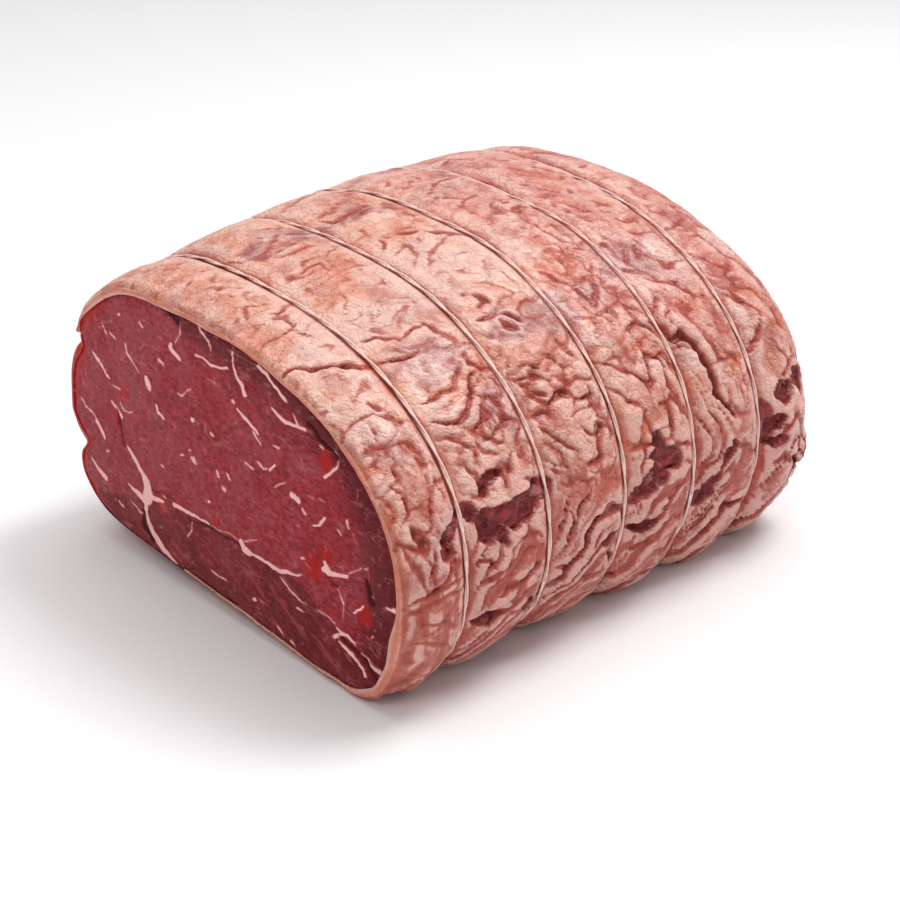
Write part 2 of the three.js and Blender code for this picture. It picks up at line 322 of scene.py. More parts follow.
# %% Creases of the smooth top, at (x, s) on the unrolled skin
CREASES = [  # depth, width, points
    (0.9, 2.2, [(6, 92), (8, 92.5)]), (0.8, 1.7, [(12, 91), (13, 90)]),
    (0.9, 1.5, [(20, 90), (21, 92), (22, 96)]), (0.9, 2.2, [(9, 103), (11, 103)]),
    (0.4, 1.5, [(5, 98), (9, 102), (14, 108)]), (0.8, 1.8, [(30, 92), (33, 93.5), (37, 93)]),
    (0.5, 2.4, [(38, 93), (41, 97), (46, 99)]), (0.8, 1.6, [(28, 103.5), (33, 105), (39, 107)]),
    (0.9, 1.4, [(27, 114.5), (30, 113.5), (33.5, 114.5), (32.5, 117), (33, 119.5)]),
    (0.7, 1.4, [(3, 119), (5, 118.5)]), (0.8, 1.2, [(5, 121), (7, 118.5), (9, 116.5), (11, 118.5)]),
    (0.6, 1.8, [(11, 123), (14, 124), (20, 122.5)]), (0.6, 1.2, [(26, 136), (28, 133), (29, 129)]),
    (1.0, 1.8, [(52, 92), (52.5, 97), (57, 97), (63, 95)]), (0.7, 2.0, [(58, 100), (66, 98)]),
    (0.6, 2.0, [(68, 101), (70.5, 102.5)]), (0.7, 1.3, [(53.5, 101), (52.5, 103)]),
    (1.3, 1.8, [(54, 115), (53.5, 118), (52, 120.5)]),
    (1.3, 2.0, [(59, 116.5), (62, 118.5), (65.5, 119.5)]),
    (1.0, 1.8, [(66, 120.5), (67, 123), (69.5, 126.5), (74, 131)]), (0.8, 2.2, [(79, 88), (82, 86)]),
    (1.2, 1.7, [(82, 103.5), (85, 102), (89, 99.3), (95, 99.8), (100, 100), (104, 97.5)]),
    (0.7, 1.6, [(82, 107), (84.5, 107)]), (0.9, 1.8, [(93, 122.5), (96, 121.5)]),
    (1.3, 2.0, [(93.5, 126.5), (97, 125.5), (99, 126)]), (1.0, 1.8, [(117, 126), (119, 124.5)]),
    (0.9, 1.9, [(121, 118), (124, 115.5)]), (0.9, 1.6, [(108, 135), (109, 134)]),
    (0.9, 1.6, [(112, 136), (114.5, 136)]), (0.6, 1.4, [(107, 131), (108, 127.5)]),
    (0.7, 1.5, [(94, 134), (92.5, 138), (95, 144), (99, 148)]),
    (0.6, 1.3, [(131, 150.5), (140, 147), (146, 144)]), (0.6, 1.4, [(87, 131), (88.5, 132)]),
    (0.5, 1.4, [(120, 107), (126, 104)]), (0.5, 1.6, [(135, 112), (140, 110)]),
    (0.5, 1.2, [(10, 132), (13, 137), (12, 141)]), (0.5, 1.1, [(62, 135), (68, 137)]),
    (0.5, 1.1, [(55, 106), (54, 111)]),
]

# %% Creases of the crumpled flank: the long one from the cut, then bay by bay
CREASES += [
    (1.5, 1.4, [(0, 144), (3, 145), (5, 148), (8, 151), (12, 153), (16, 155.5), (20, 157.5), (25, 158),
                (31, 158.5)]), (0.8, 2.6, [(11, 152.5), (14, 154)]),
    (0.8, 1.2, [(22, 148.5), (26, 149), (29, 151), (30, 153)]),
    (0.7, 1.0, [(30, 152.5), (35, 152), (39, 152.5)]), (0.7, 1.1, [(26.5, 154), (28, 157)]),
    (0.9, 1.2, [(38.5, 152), (40, 156), (42, 160), (42, 162.5)]),
    (0.7, 1.1, [(42, 163), (45, 164.5), (48, 165)]),
    (1.2, 1.4, [(41.5, 165), (42, 168), (43.5, 170), (46, 171.5), (49, 173)]),
    (1.0, 1.2, [(22, 172.5), (26, 173), (29.5, 172), (33, 171), (36, 169), (40, 167)]),
    (1.5, 1.5, [(22, 178), (24, 180), (28, 180), (32, 179), (36, 176), (37, 173.5), (40, 171.5),
                (43, 171)]), (0.9, 1.3, [(21, 183), (24, 183.5), (27, 186), (29, 189)]),
    (0.9, 1.2, [(30, 186), (31, 189), (34, 191), (37, 191)]),
    (0.8, 1.8, [(37, 180), (38, 183), (36.5, 186)]), (0.9, 1.2, [(33, 186), (36, 188), (38, 190)]),
    (0.9, 1.4, [(45, 174), (46, 177), (47, 180)]), (1.2, 1.5, [(15.5, 190), (16, 192), (20, 192.5)]),
    (1.0, 1.2, [(22, 190), (25, 190.5), (26.5, 193), (26, 196)]), (0.8, 2.0, [(10.5, 166), (12.5, 169)]),
    (0.8, 1.3, [(2, 169.5), (6, 168.5), (10, 169), (12, 172), (15, 174.5), (19, 175.5)]),
    (0.6, 1.2, [(1, 177), (7, 177.5), (12, 176)]), (0.7, 1.2, [(12, 184), (14, 187), (17, 187)]),
    (1.0, 1.2, [(4, 187), (6, 190), (5.5, 195), (2, 197.5)]),
    (1.4, 2.2, [(5.5, 197.5), (7, 202), (6.5, 206)]), (0.9, 1.2, [(2, 201), (4, 208), (5.5, 214)]),
    (0.8, 1.1, [(4, 200), (6.5, 207), (8, 213)]),
    (0.9, 1.0, [(0, 216.2), (5, 215.5), (10, 215), (14, 215.5), (18, 217.5)]),
    (0.6, 0.9, [(0, 219), (6, 218), (12, 217.5), (18, 220)]), (0.5, 0.9, [(4, 223), (10, 224), (16, 229)]),
    (0.5, 0.9, [(2, 228), (9, 229), (15, 236)]), (1.2, 1.6, [(40, 200), (44, 202), (48, 205)]),
    (1.0, 1.4, [(22, 215), (26, 214.5), (28, 217)]), (1.1, 1.5, [(23, 221), (27, 219.5), (31, 218)]),
    (0.8, 1.2, [(31, 218), (32, 214), (36, 212), (41, 213.5), (44, 217)]),
    (1.2, 1.8, [(29, 225), (33, 224), (38, 223), (43, 224.5)]),
    (1.4, 2.6, [(22, 232), (26, 230), (31, 230.5), (36, 229.5)]), (0.8, 1.4, [(36, 229.5), (41, 228)]),
    # the crease from (38, 233) to (45, 241) is painted shadow under the overhang of the second bay
    (1.1, 1.6, [(38, 233), (42, 236), (45, 241)]), (0.9, 2.2, [(55, 149), (55.5, 149.5)]),
    (1.1, 1.4, [(57.5, 150), (58.5, 154), (55, 155)]), (1.0, 1.4, [(51, 158), (55, 159), (59, 159)]),
    (1.2, 1.8, [(57, 161), (60, 165)]), (1.3, 2.0, [(59.5, 159), (63, 163.5)]),
    (0.7, 1.2, [(64, 159.5), (70, 158.5), (75, 159)]),
    (0.9, 1.3, [(50, 176), (54, 175), (58, 176.5), (61, 179)]),
    (0.8, 1.2, [(52, 180), (56, 179), (60, 181)]), (1.4, 2.0, [(54, 182), (55.5, 184)]),
    (1.0, 1.3, [(56, 185.5), (60, 185), (63, 184)]),
    (0.9, 1.3, [(60, 180), (64, 183), (69, 184.5), (75, 185)]),
    (1.0, 1.3, [(50, 191), (54, 194.5), (57, 198), (60, 199.5)]),
    (0.8, 1.2, [(60, 192), (65, 191), (71, 191)]), (1.3, 2.6, [(67, 197.5), (70, 196.5)]),
    (1.1, 1.8, [(60, 203), (63, 204), (67, 203)]), (1.2, 2.0, [(49.5, 202), (52, 202.5)]),
    (0.8, 1.3, [(53, 213), (54, 217), (53, 222)]), (1.1, 1.6, [(49, 229), (54, 228.5), (59, 227)]),
    (1.0, 2.0, [(62, 225), (64, 221.5)]), (0.9, 1.3, [(60, 219), (65, 218), (70, 218.5), (74, 222)]),
    (0.9, 1.8, [(60, 233.5), (65, 235.5), (70, 237)]), (0.9, 1.8, [(69, 230), (72, 235), (75, 242)]),
    (0.8, 1.4, [(80, 152), (83, 156), (87, 160)]), (1.0, 1.8, [(85, 160), (88, 167), (93, 161.5)]),
    (0.8, 1.2, [(85, 170), (88, 175)]), (0.6, 1.0, [(79, 170), (86, 170.5), (92, 169.5)]),
    (0.9, 1.3, [(76, 182), (80, 185), (86, 188), (90, 191.5)]),
    (0.9, 1.3, [(76, 189), (79, 192), (81.5, 195), (85, 197.5)]),
    (0.9, 1.4, [(83, 197), (85.5, 201), (86.5, 205)]),
    (0.7, 1.2, [(90, 186), (94, 184.5), (97, 187), (97, 191)]),
    (1.3, 2.6, [(76, 228), (82, 228), (88, 226), (95, 221)]),
    (0.9, 2.4, [(78, 235), (84, 233.5), (88, 231)]),
    (2.6, 2.8, [(100.5, 178), (104, 180), (106, 184), (109, 183), (111, 186), (112, 190), (113, 195),
                (113.5, 200), (115, 204), (118.5, 208)]),
    (1.0, 1.3, [(104.5, 176.5), (106.5, 174), (109, 172)]), (0.8, 1.1, [(106, 178.5), (109, 176)]),
    (1.3, 2.0, [(99.5, 190), (103, 192.5)]), (0.8, 1.2, [(103, 187), (107, 186), (110, 188)]),
    (0.8, 1.2, [(113, 193), (118, 192), (124, 193), (129, 196)]),
    (0.7, 1.1, [(121, 197), (124, 200), (124, 205)]), (1.2, 1.6, [(104, 226), (106, 221), (109, 216)]),
    (1.0, 1.3, [(118, 214), (121, 215.5), (125, 218)]), (0.7, 1.6, [(105, 150.5), (108, 151)]),
    (0.8, 1.3, [(107.5, 158.5), (111, 155), (113.5, 152.5)]), (0.8, 1.3, [(113, 158), (115.5, 153.5)]),
    (0.7, 1.2, [(105, 161), (109, 163)]), (0.7, 1.2, [(117, 150), (119, 156), (118, 161)]),
    (0.7, 1.2, [(110, 165), (115, 168), (120, 169)]), (0.9, 1.6, [(131.5, 169), (132.5, 173)]),
    (0.9, 1.6, [(137, 175.5), (139.5, 179)]),
    (0.8, 1.2, [(131, 180), (135, 177), (139, 179), (142, 182), (140, 186)]),
    (1.4, 1.6, [(131, 194), (134, 193), (138, 189), (140.5, 185)]),
    (1.6, 1.8, [(132, 219), (136, 219.5), (140, 217.5), (143, 214), (149, 211)]),
    (1.3, 1.8, [(136, 224.5), (142, 222.5), (148, 225.5), (155, 230), (161, 236)]),
    (0.9, 1.4, [(146, 229), (152, 234), (157, 240)]), (1.2, 1.8, [(132, 224), (133.5, 229)]),
    (0.8, 1.3, [(143, 190), (147, 196), (147, 201)]),
]
print(len(CREASES), "creases")

# %% Gaps where dark muscle shows, patches of other colours, and patches of painted highlight
GAPS = [  # x, s, half length, half width, lean in degrees
    (16, 203.5, 5, 1.9, -22), (12.5, 207.5, 2.4, 2.0, 0), (21.5, 202.5, 1.8, 3.6, 0),
    (30, 197, 4.5, 1.7, -12), (27, 206, 4.2, 3.6, 0), (36, 206, 8.5, 3.3, 4), (45, 205, 4.2, 2.6, 20),
    (30, 210, 2.6, 2.0, 60), (25, 231, 3.5, 1.5, -10), (87.5, 206, 3, 2.2, 60), (90, 211, 6.5, 3.2, 12),
    (84, 216, 6.5, 2.8, -25), (79, 219, 3, 1.7, -30), (82, 227.5, 6, 1.7, -8), (115, 217, 5, 2.4, -45),
    (111, 223, 6, 2.6, -60), (106, 229, 3.5, 2.2, -50), (133, 211, 3, 4.6, 0), (143, 205, 5, 2.8, -35),
    (151, 203, 2.8, 5, -20), (137, 214, 5, 2, -30), (133, 218, 2.2, 2.8, 0), (139, 219, 4, 1.2, -20),
    # the gap at (43, 237) is painted shadow under the overhang of the second bay
    (152, 228, 6, 1.2, 32), (72, 235, 4, 1.1, 60), (43, 237, 4, 1.2, 55),
]
MAUVE = [
    (41, 95, 9, 4, 35), (58, 97, 8, 3.5, 0), (68, 103, 6, 3, 20), (60, 163, 8, 6, 20), (89, 163, 6, 4, 0),
    (110, 157, 11, 8, 10), (33, 162, 11, 7, 10), (14, 206, 7, 5, 80), (41, 183, 7, 5, 40),
    (115, 220, 8, 4, -55), (86, 222, 9, 4, -40), (142, 220, 8, 6, 0), (72, 165, 10, 6, 0),
    (26, 95, 4, 4, 0), (8, 210, 5, 7, 80),
]
TAN = [
    (2, 183, 3, 3, 0), (2, 193, 4, 4, 0), (57, 182, 4.5, 2.6, 0), (45, 186, 6, 3, 0), (68, 210, 6, 5, 0),
    (82, 206, 5, 6, 60), (94, 183, 5, 2.5, 10), (107, 196, 5, 8, 90), (106, 221, 2.5, 7, 60),
    (141, 197, 4, 9, 90), (34, 105, 6, 2, 10), (125, 194, 5, 3, 0), (38, 217, 5, 4, 0), (147, 180, 8, 8, 0),
    (46, 105, 3, 3, 0), (85, 150, 10, 8, 0), (62, 118, 5, 3, 20),
]
# pale patches where the fat catches the light: painted highlight
HIGHLIGHT_PATCHES = [
    (5, 171, 6, 3, 10), (26, 175.5, 4, 2, 0), (33, 189, 4, 3, 0), (24, 193, 2.5, 3.5, 0),
    (135, 182, 5, 4, 0), (79, 175, 3, 3, 0), (94, 188, 4, 3, 0), (31, 164, 8, 4, 0), (14, 162, 6, 5, 0),
    (107, 191, 4, 4, 0), (54, 196, 4, 2, 40), (22, 143, 16, 10, 0), (52, 135, 14, 14, 0),
    (72, 143, 10, 8, 0), (124, 160, 6, 12, 0), (150, 155, 10, 6, -20),
]
print(len(GAPS), "gaps in the cover")


# %% Pillows, and the cavities between them
def pillow(distance, size, power=1.2):
    """0 in a crack and 1 on the pillows beside it."""
    return 1 - np.exp(-(np.abs(distance) / size) ** power)


def shown(level, amount):
    """A pillow field where it is shown, and flat elsewhere."""
    return 1 - (1 - level) * amount


def blur(grid, rows, columns):
    for axis, size in ((0, rows), (1, columns)):
        pad = [(0, 0), (0, 0)]
        pad[axis] = (size + 1, size)
        total = np.cumsum(np.pad(grid, pad, mode="edge"), axis)
        n = grid.shape[axis]
        after, before = np.arange(n) + 2 * size + 1, np.arange(n)
        grid = (np.take(total, after, axis) - np.take(total, before, axis)) / (2 * size + 1)
    return grid


# %% Crumpled skin, long folds and smooth skin
PILLOW_WIDE, SMALL_PILLOW = 9.0, 4.4


def beside_cut(x):
    return smooth((FIRST_STRING - 0.4 - x) / 4)


def crumpled_skin(x, s, wx, ws, loose):
    """Pillows with worm-like folds over them and small pillows between: height, cracks, cell."""
    size = 1 - 0.2 * beside_cut(x) + 0.3 * smooth((x - 95) / 30)
    long = size * (1 + 1.1 * beside_cut(x))
    _, gap, own = cells(wx / size, ws / long, PILLOW_WIDE, 51)
    net = shown(pillow(gap, 0.17), smooth(noise(x, s, 14, 54, 2) * 1.5 + 0.75))
    worm = pillow(noise(wx / size, ws / long, 10, 56, 2), 0.10)
    worm = shown(worm, smooth(noise(x, s, 15, 57, 2) * 1.5 + 0.6))
    _, small_gap, small_own = cells(wx / size + 31, ws / long, SMALL_PILLOW, 58)
    small = shown(pillow(small_gap, 0.2), smooth(noise(x, s, 10, 60, 2) * 1.5 + 0.6))
    crinkle = pillow(noise(wx, ws + 30, 2.6, 59, 2), 0.22)
    deep = smooth((s - 165) / 12)
    height = mix(0.95, 1.25, deep) * (np.minimum(net, 0.35 + 0.65 * worm) - 0.75)
    height += 0.5 * (small - 0.7) + 0.2 * (crinkle - 0.6)
    height += 0.6 * deep * (own - 0.5) + 0.25 * (small_own - 0.5)
    crack = np.maximum(1 - net, np.maximum(0.5 * (1 - worm), 0.6 * (1 - small)))
    return loose * height, loose * crack, own


def long_folds(x, wx, ws, folded):
    """Folds that arch across each bay, from the foot of the string on its left."""
    in_bay = (((x - FIRST_STRING) / PITCH) % 1) * 2 - 1
    arch = ws - 12 * (in_bay - 0.35) ** 2
    long_fold = pillow(noise(arch, wx / 4.5, 6.0, 61, 2), 0.2)
    thin_fold = pillow(noise(arch, wx / 5, 2.0, 62, 2), 0.25)
    return folded * (1.35 * (long_fold - 0.7) + 0.35 * (thin_fold - 0.6)), arch, long_fold


def smooth_skin(x, s, wx, ws, calm):
    """Long shallow streaks, and fine pleats on the strip beside the cut."""
    streak = pillow(noise(wx / 3.4, ws + 0.2 * wx, 6.5, 71, 2), 0.10)
    streak = shown(streak, smooth(noise(x, s, 16, 72, 2) * 1.6 + 0.5))
    fine = pillow(noise(wx / 1.5, ws, 3.6, 73, 2), 0.16)
    pleat = noise(x, s / 5, 2.2, 75, 2) * beside_cut(x) * smooth((s - 214) / 8)
    return calm * (0.55 * (streak - 0.8) + 0.28 * (fine - 0.6)) + 0.3 * pleat


# %% Creases, bare muscle and tints
def drawn_creases(x, s):
    """How far the creases cut in and their lips stand up, and where they run."""
    dx, ds = x + 0.9 * noise(x, s, 4, 81, 2), s + 0.9 * noise(x, s, 4, 82, 2)
    height, drawn = np.zeros(x.shape), np.zeros(x.shape)
    cut_in = mix(0.55, 0.95, smooth((s - 130) / 20))
    for depth, width, points in CREASES:
        line = stroke(dx, ds, points, width, width * 0.7, 0.75, 0.8)
        near = stroke(dx, ds, points, width * 3.2, width * 2.4, 2.2, 0.5)
        height += 0.25 * depth * near - cut_in * depth * line
        drawn = np.maximum(drawn, line * min(1.0, 0.45 + 0.3 * depth))
    return height, drawn


def bare_muscle(x, s, gx, gs, folded, long_fold):
    """Where muscle shows: the gaps, the valleys of the folds, and spots on the hidden flanks."""
    bare = np.zeros(x.shape)
    for place in GAPS:
        bare = np.maximum(bare, blot(gx, gs, *place, soft=0.3))
    valley = smooth((0.5 - long_fold) / 0.25) * folded * smooth(noise(x, s, 14, 86, 2) * 1.8 + 0.3)
    hidden = np.maximum(smooth((70 - s) / 20), smooth((s - UNDERNEATH) / 12))
    spots = hidden * smooth((noise(gx, gs, 15, 85, 2) - 0.62) / 0.08)
    return np.maximum(bare, np.maximum(0.8 * valley, spots))


def tints(gx, gs):
    """Soft patches of the three other colours; the pale one is painted highlight."""
    made = {}
    for key, places, seed in (("mauve", MAUVE, 91), ("tan", TAN, 92), ("chalk", HIGHLIGHT_PATCHES, 93)):
        tint = np.zeros(gx.shape)
        for place in places:
            tint = np.maximum(tint, blot(gx, gs, *place, soft=0.9))
        made[key] = tint + 0.6 * smooth(noise(gx, gs, 9, seed, 3) * 2 - 0.1)
    return made


# %% The large forms of the cover, and all of it together
def tied_down(high, away, calm):
    """The cover lies down under each string and swells beside it."""
    high = high * (0.1 + 0.9 * smooth((away - 0.5) / 3.5)) + 0.15 * np.exp(-((away - 3.2) / 1.6) ** 2)
    return high - mix(0.65, 0.4, calm) * np.exp(-(away / 0.9) ** 2)


def large_forms(x, s):
    """The settled ridge, the tuck under the first bays, the rounded rim and the top left edge."""
    bays = bay(x) * smooth(x / 6) * (1 - smooth((x - 60) / 20) + 0.6 * smooth((x - 138) / 8))
    tuck = 2.2 * bays * smooth((s - 230) / 14) * (1 - smooth((s - UNDERNEATH) / 8))
    rounded = 0.7 * (1 - np.sqrt(1 - np.clip(1 - x / 1.4, 0, 1) ** 2))
    corner = 1.8 * (1 - smooth((s - 32) / 5)) * (1 - smooth(x / 7))
    crest = smooth((90 - s) / 25) * smooth((s - 34) / 8) * (1 - smooth((x - 3) / 12))
    return settle(x, s) + crest - tuck - rounded - corner


def cover(x, s):
    """The height of the cover over its form in millimetres, and the masks for its finish."""
    crumpled, folded = zones(x, s)
    calm, away = 1 - crumpled, from_string(x)
    wx = x + 3.4 * noise(x, s, 12, 21) + 1.3 * noise(x, s, 4, 22, 2)
    ws = s + 3.4 * noise(x, s, 12, 31) + 1.3 * noise(x, s, 4, 32, 2)
    gx, gs = x + 1.6 * noise(x, s, 5, 83, 2), s + 1.6 * noise(x, s, 5, 84, 2)
    pillows, crack, own = crumpled_skin(x, s, wx, ws, crumpled * (1 - 0.85 * folded))
    folds, arch, long_fold = long_folds(x, wx, ws, folded)
    creases, drawn = drawn_creases(x, s)
    high = 0.8 * noise(wx, ws, 26, 41, 2) + pillows + folds + smooth_skin(x, s, wx, ws, calm) + creases
    # muscle lies deeper than the fat, with sinews over it, and the torn edge of the fat stands up
    bare = bare_muscle(x, s, gx, gs, folded, long_fold)
    sinew = noise(arch / 0.7, wx / 2.4, 2.6, 87, 2)
    high = high - bare * (1.6 + 0.7 * sinew) + 0.45 * np.exp(-((bare - 0.25) / 0.2) ** 2)
    high = tied_down(high, away, calm)
    # the relief is quieter underneath and at the rim of the cut
    high = np.where(s > UNDERNEATH, high * 0.35, high) * (smooth(x / 1.8) * 0.5 + 0.5)
    # painted shade and highlight: how far each point lies below its blurred surroundings, so the finish
    # paints the hollows darker and the crests lighter
    hollow = 0.6 * (blur(high, 4, 4) - high) + 0.5 * (blur(high, 9, 9) - high)
    tip = blot(x, s, 160, 226, 3.5, 5, 0, 0.8)
    masks = {"hollow": hollow * (1 + 0.9 * calm), "drawn": drawn, "bare": bare, "crumpled": crumpled,
             "crack": crack * smooth((away - 0.8) / 1.2), "tip": tip, "own": own,
             "rosy": smooth((x - 62) / 40) * smooth((205 - s) / 30),
             "low": smooth((s - 190) / 34) * smooth((s - 40) / 10), **tints(gx, gs)}
    return high + large_forms(x, s) + 1.8 * tip, masks


# %% Build the cover
SEEN_FROM, SEEN_TO, BACK_FROM = 0.25, 0.625, 112  # the points stand closer where the cover is seen
fat_u = np.concatenate([np.linspace(FAT_FROM, SEEN_FROM, 66)[:-1], np.linspace(SEEN_FROM, SEEN_TO, 290),
                        np.linspace(SEEN_TO, FAT_TO, 42)[1:]])
fat_rows = np.concatenate([np.linspace(0, BACK_FROM, 163)[:-1], np.linspace(BACK_FROM, LENGTH, 53)])
X, S = np.meshgrid(fat_rows, fat_u * AROUND, indexing="ij")
rise, marks = cover(X, S)
outer = skin(fat_rows, fat_u, rise)
count = len(fat_u)
inner_rows = np.concatenate([[0, 3, 6, 9], np.sort(np.concatenate([STRINGS, STRINGS[:-1] + PITCH / 2])),
                             [138, 145, 151, 155, 158, 160, LENGTH]])
flat = np.zeros((len(inner_rows), count))
inner = skin(inner_rows, fat_u, flat, fat_depth(fat_u[None], inner_rows[:, None]))
RIM_STEPS = 5
rim_shares = np.linspace(0, 1, RIM_STEPS + 1)[1:-1]


def rim(a, b):
    """Rows between the outer and inner edge of the cover where it is cut."""
    return a[None] + (b - a)[None] * rim_shares[:, None, None]


near_rim, far_rim = rim(outer[0], inner[0]), rim(outer[-1], inner[-1])
crown = np.sin(np.pi * rim_shares)[:, None]
wave = 0.5 * noise(fat_u * AROUND, fat_u * 0, 7, 15, 3) + 0.25 * noise(fat_u * AROUND, fat_u * 0, 2.2, 16, 2)
near_rim[:, :, 0] -= 0.45 * crown * (1 + wave)
far_rim[:, :, 0] += 0.45 * crown * (1 + wave)
outer[0, :, 0] += 0.35 * (1 + wave)
blocks, start, numbers = [outer, near_rim, far_rim, inner], 0, []
for block in blocks:
    size = block.shape[0] * count
    numbers.append(np.arange(start, start + size).reshape(block.shape[0], count))
    start += size
outer_n, near_n, far_n, inner_n = numbers
fat_faces = quads(outer_n)
fat_faces += quads(np.concatenate([inner_n[:1], near_n[::-1], outer_n[:1]]))
fat_faces += quads(np.concatenate([outer_n[-1:], far_n, inner_n[-1:]]))
fat_faces += quads(inner_n[:, ::-1])
fat_faces += stitch(outer_n[:, 0].tolist(), fat_rows, inner_n[:, 0].tolist(), inner_rows)
fat_faces += [f[::-1] for f in stitch(outer_n[:, -1].tolist(), fat_rows, inner_n[:, -1].tolist(), inner_rows)]
# the four ends of the two rims
for column, turn in ((0, 1), (-1, -1)):
    fat_faces.append([outer_n[0, column], inner_n[0, column], *near_n[::-1, column]][::turn])
    fat_faces.append([inner_n[-1, column], outer_n[-1, column], *far_n[:, column]][::turn])
fat_faces = [tuple(map(int, face)) for face in fat_faces]
fat_points = np.concatenate([b.reshape(-1, 3) for b in blocks])
extra = len(fat_points) - outer.shape[0] * count
fat_marks = {}
for key, values in marks.items():
    fat_marks[key] = np.concatenate([values.ravel(), np.zeros(extra)])
edge = np.zeros(len(fat_points))
edge[near_n] = rim_shares[:, None]
edge[far_n] = rim_shares[:, None]
edge[inner_n] = 1
fat_marks["edge"] = edge
fat = make_piece("beef_fat", "fat_cover", fat_points, fat_faces, fat_marks)

# %% [markdown]
# ## The lean
# The shown cut is the face of the joint. Several muscles meet in it, and pale seams of fat
# and gristle run between them, with one thick three-cornered pocket at the left. Noise can't
# give such seams, so each is a stroke that was drawn over the photo, and the camera
# says where it lies on the cut. The cut is a fan of rings from its rim to its middle, fine
# enough for each seam to be a small ridge. The bare left flank has two clefts.

# %% Where the photograph was taken from, by the spacing of the strings
AZIMUTH, ELEVATION = math.radians(-42.38), math.radians(23.41)
FOCAL_PX, PHOTO_PX = 1507.0, 900
STAND = np.array([-195.0, -305.3, 202.5])  # in millimetres from the foot of the shown cut's middle
back = np.array([math.sin(AZIMUTH) * math.cos(ELEVATION), -math.cos(AZIMUTH) * math.cos(ELEVATION),
                 math.sin(ELEVATION)])
right = np.array([math.cos(AZIMUTH), math.sin(AZIMUTH), 0])
upward = np.cross(back, right)


def on_cut(pixels):
    """The points (h, z) of the shown cut that lie behind places on the photo."""
    off = (pixels - PHOTO_PX / 2) / FOCAL_PX
    ray = off[:, :1] * right - off[:, 1:] * upward - back
    place = STAND - ray * (STAND[0] / ray[:, :1])
    return np.stack([-place[:, 1], place[:, 2]], 1)


print("the photo's middle shows the plane of the cut at", on_cut(np.full((1, 2), PHOTO_PX / 2)).round(1))
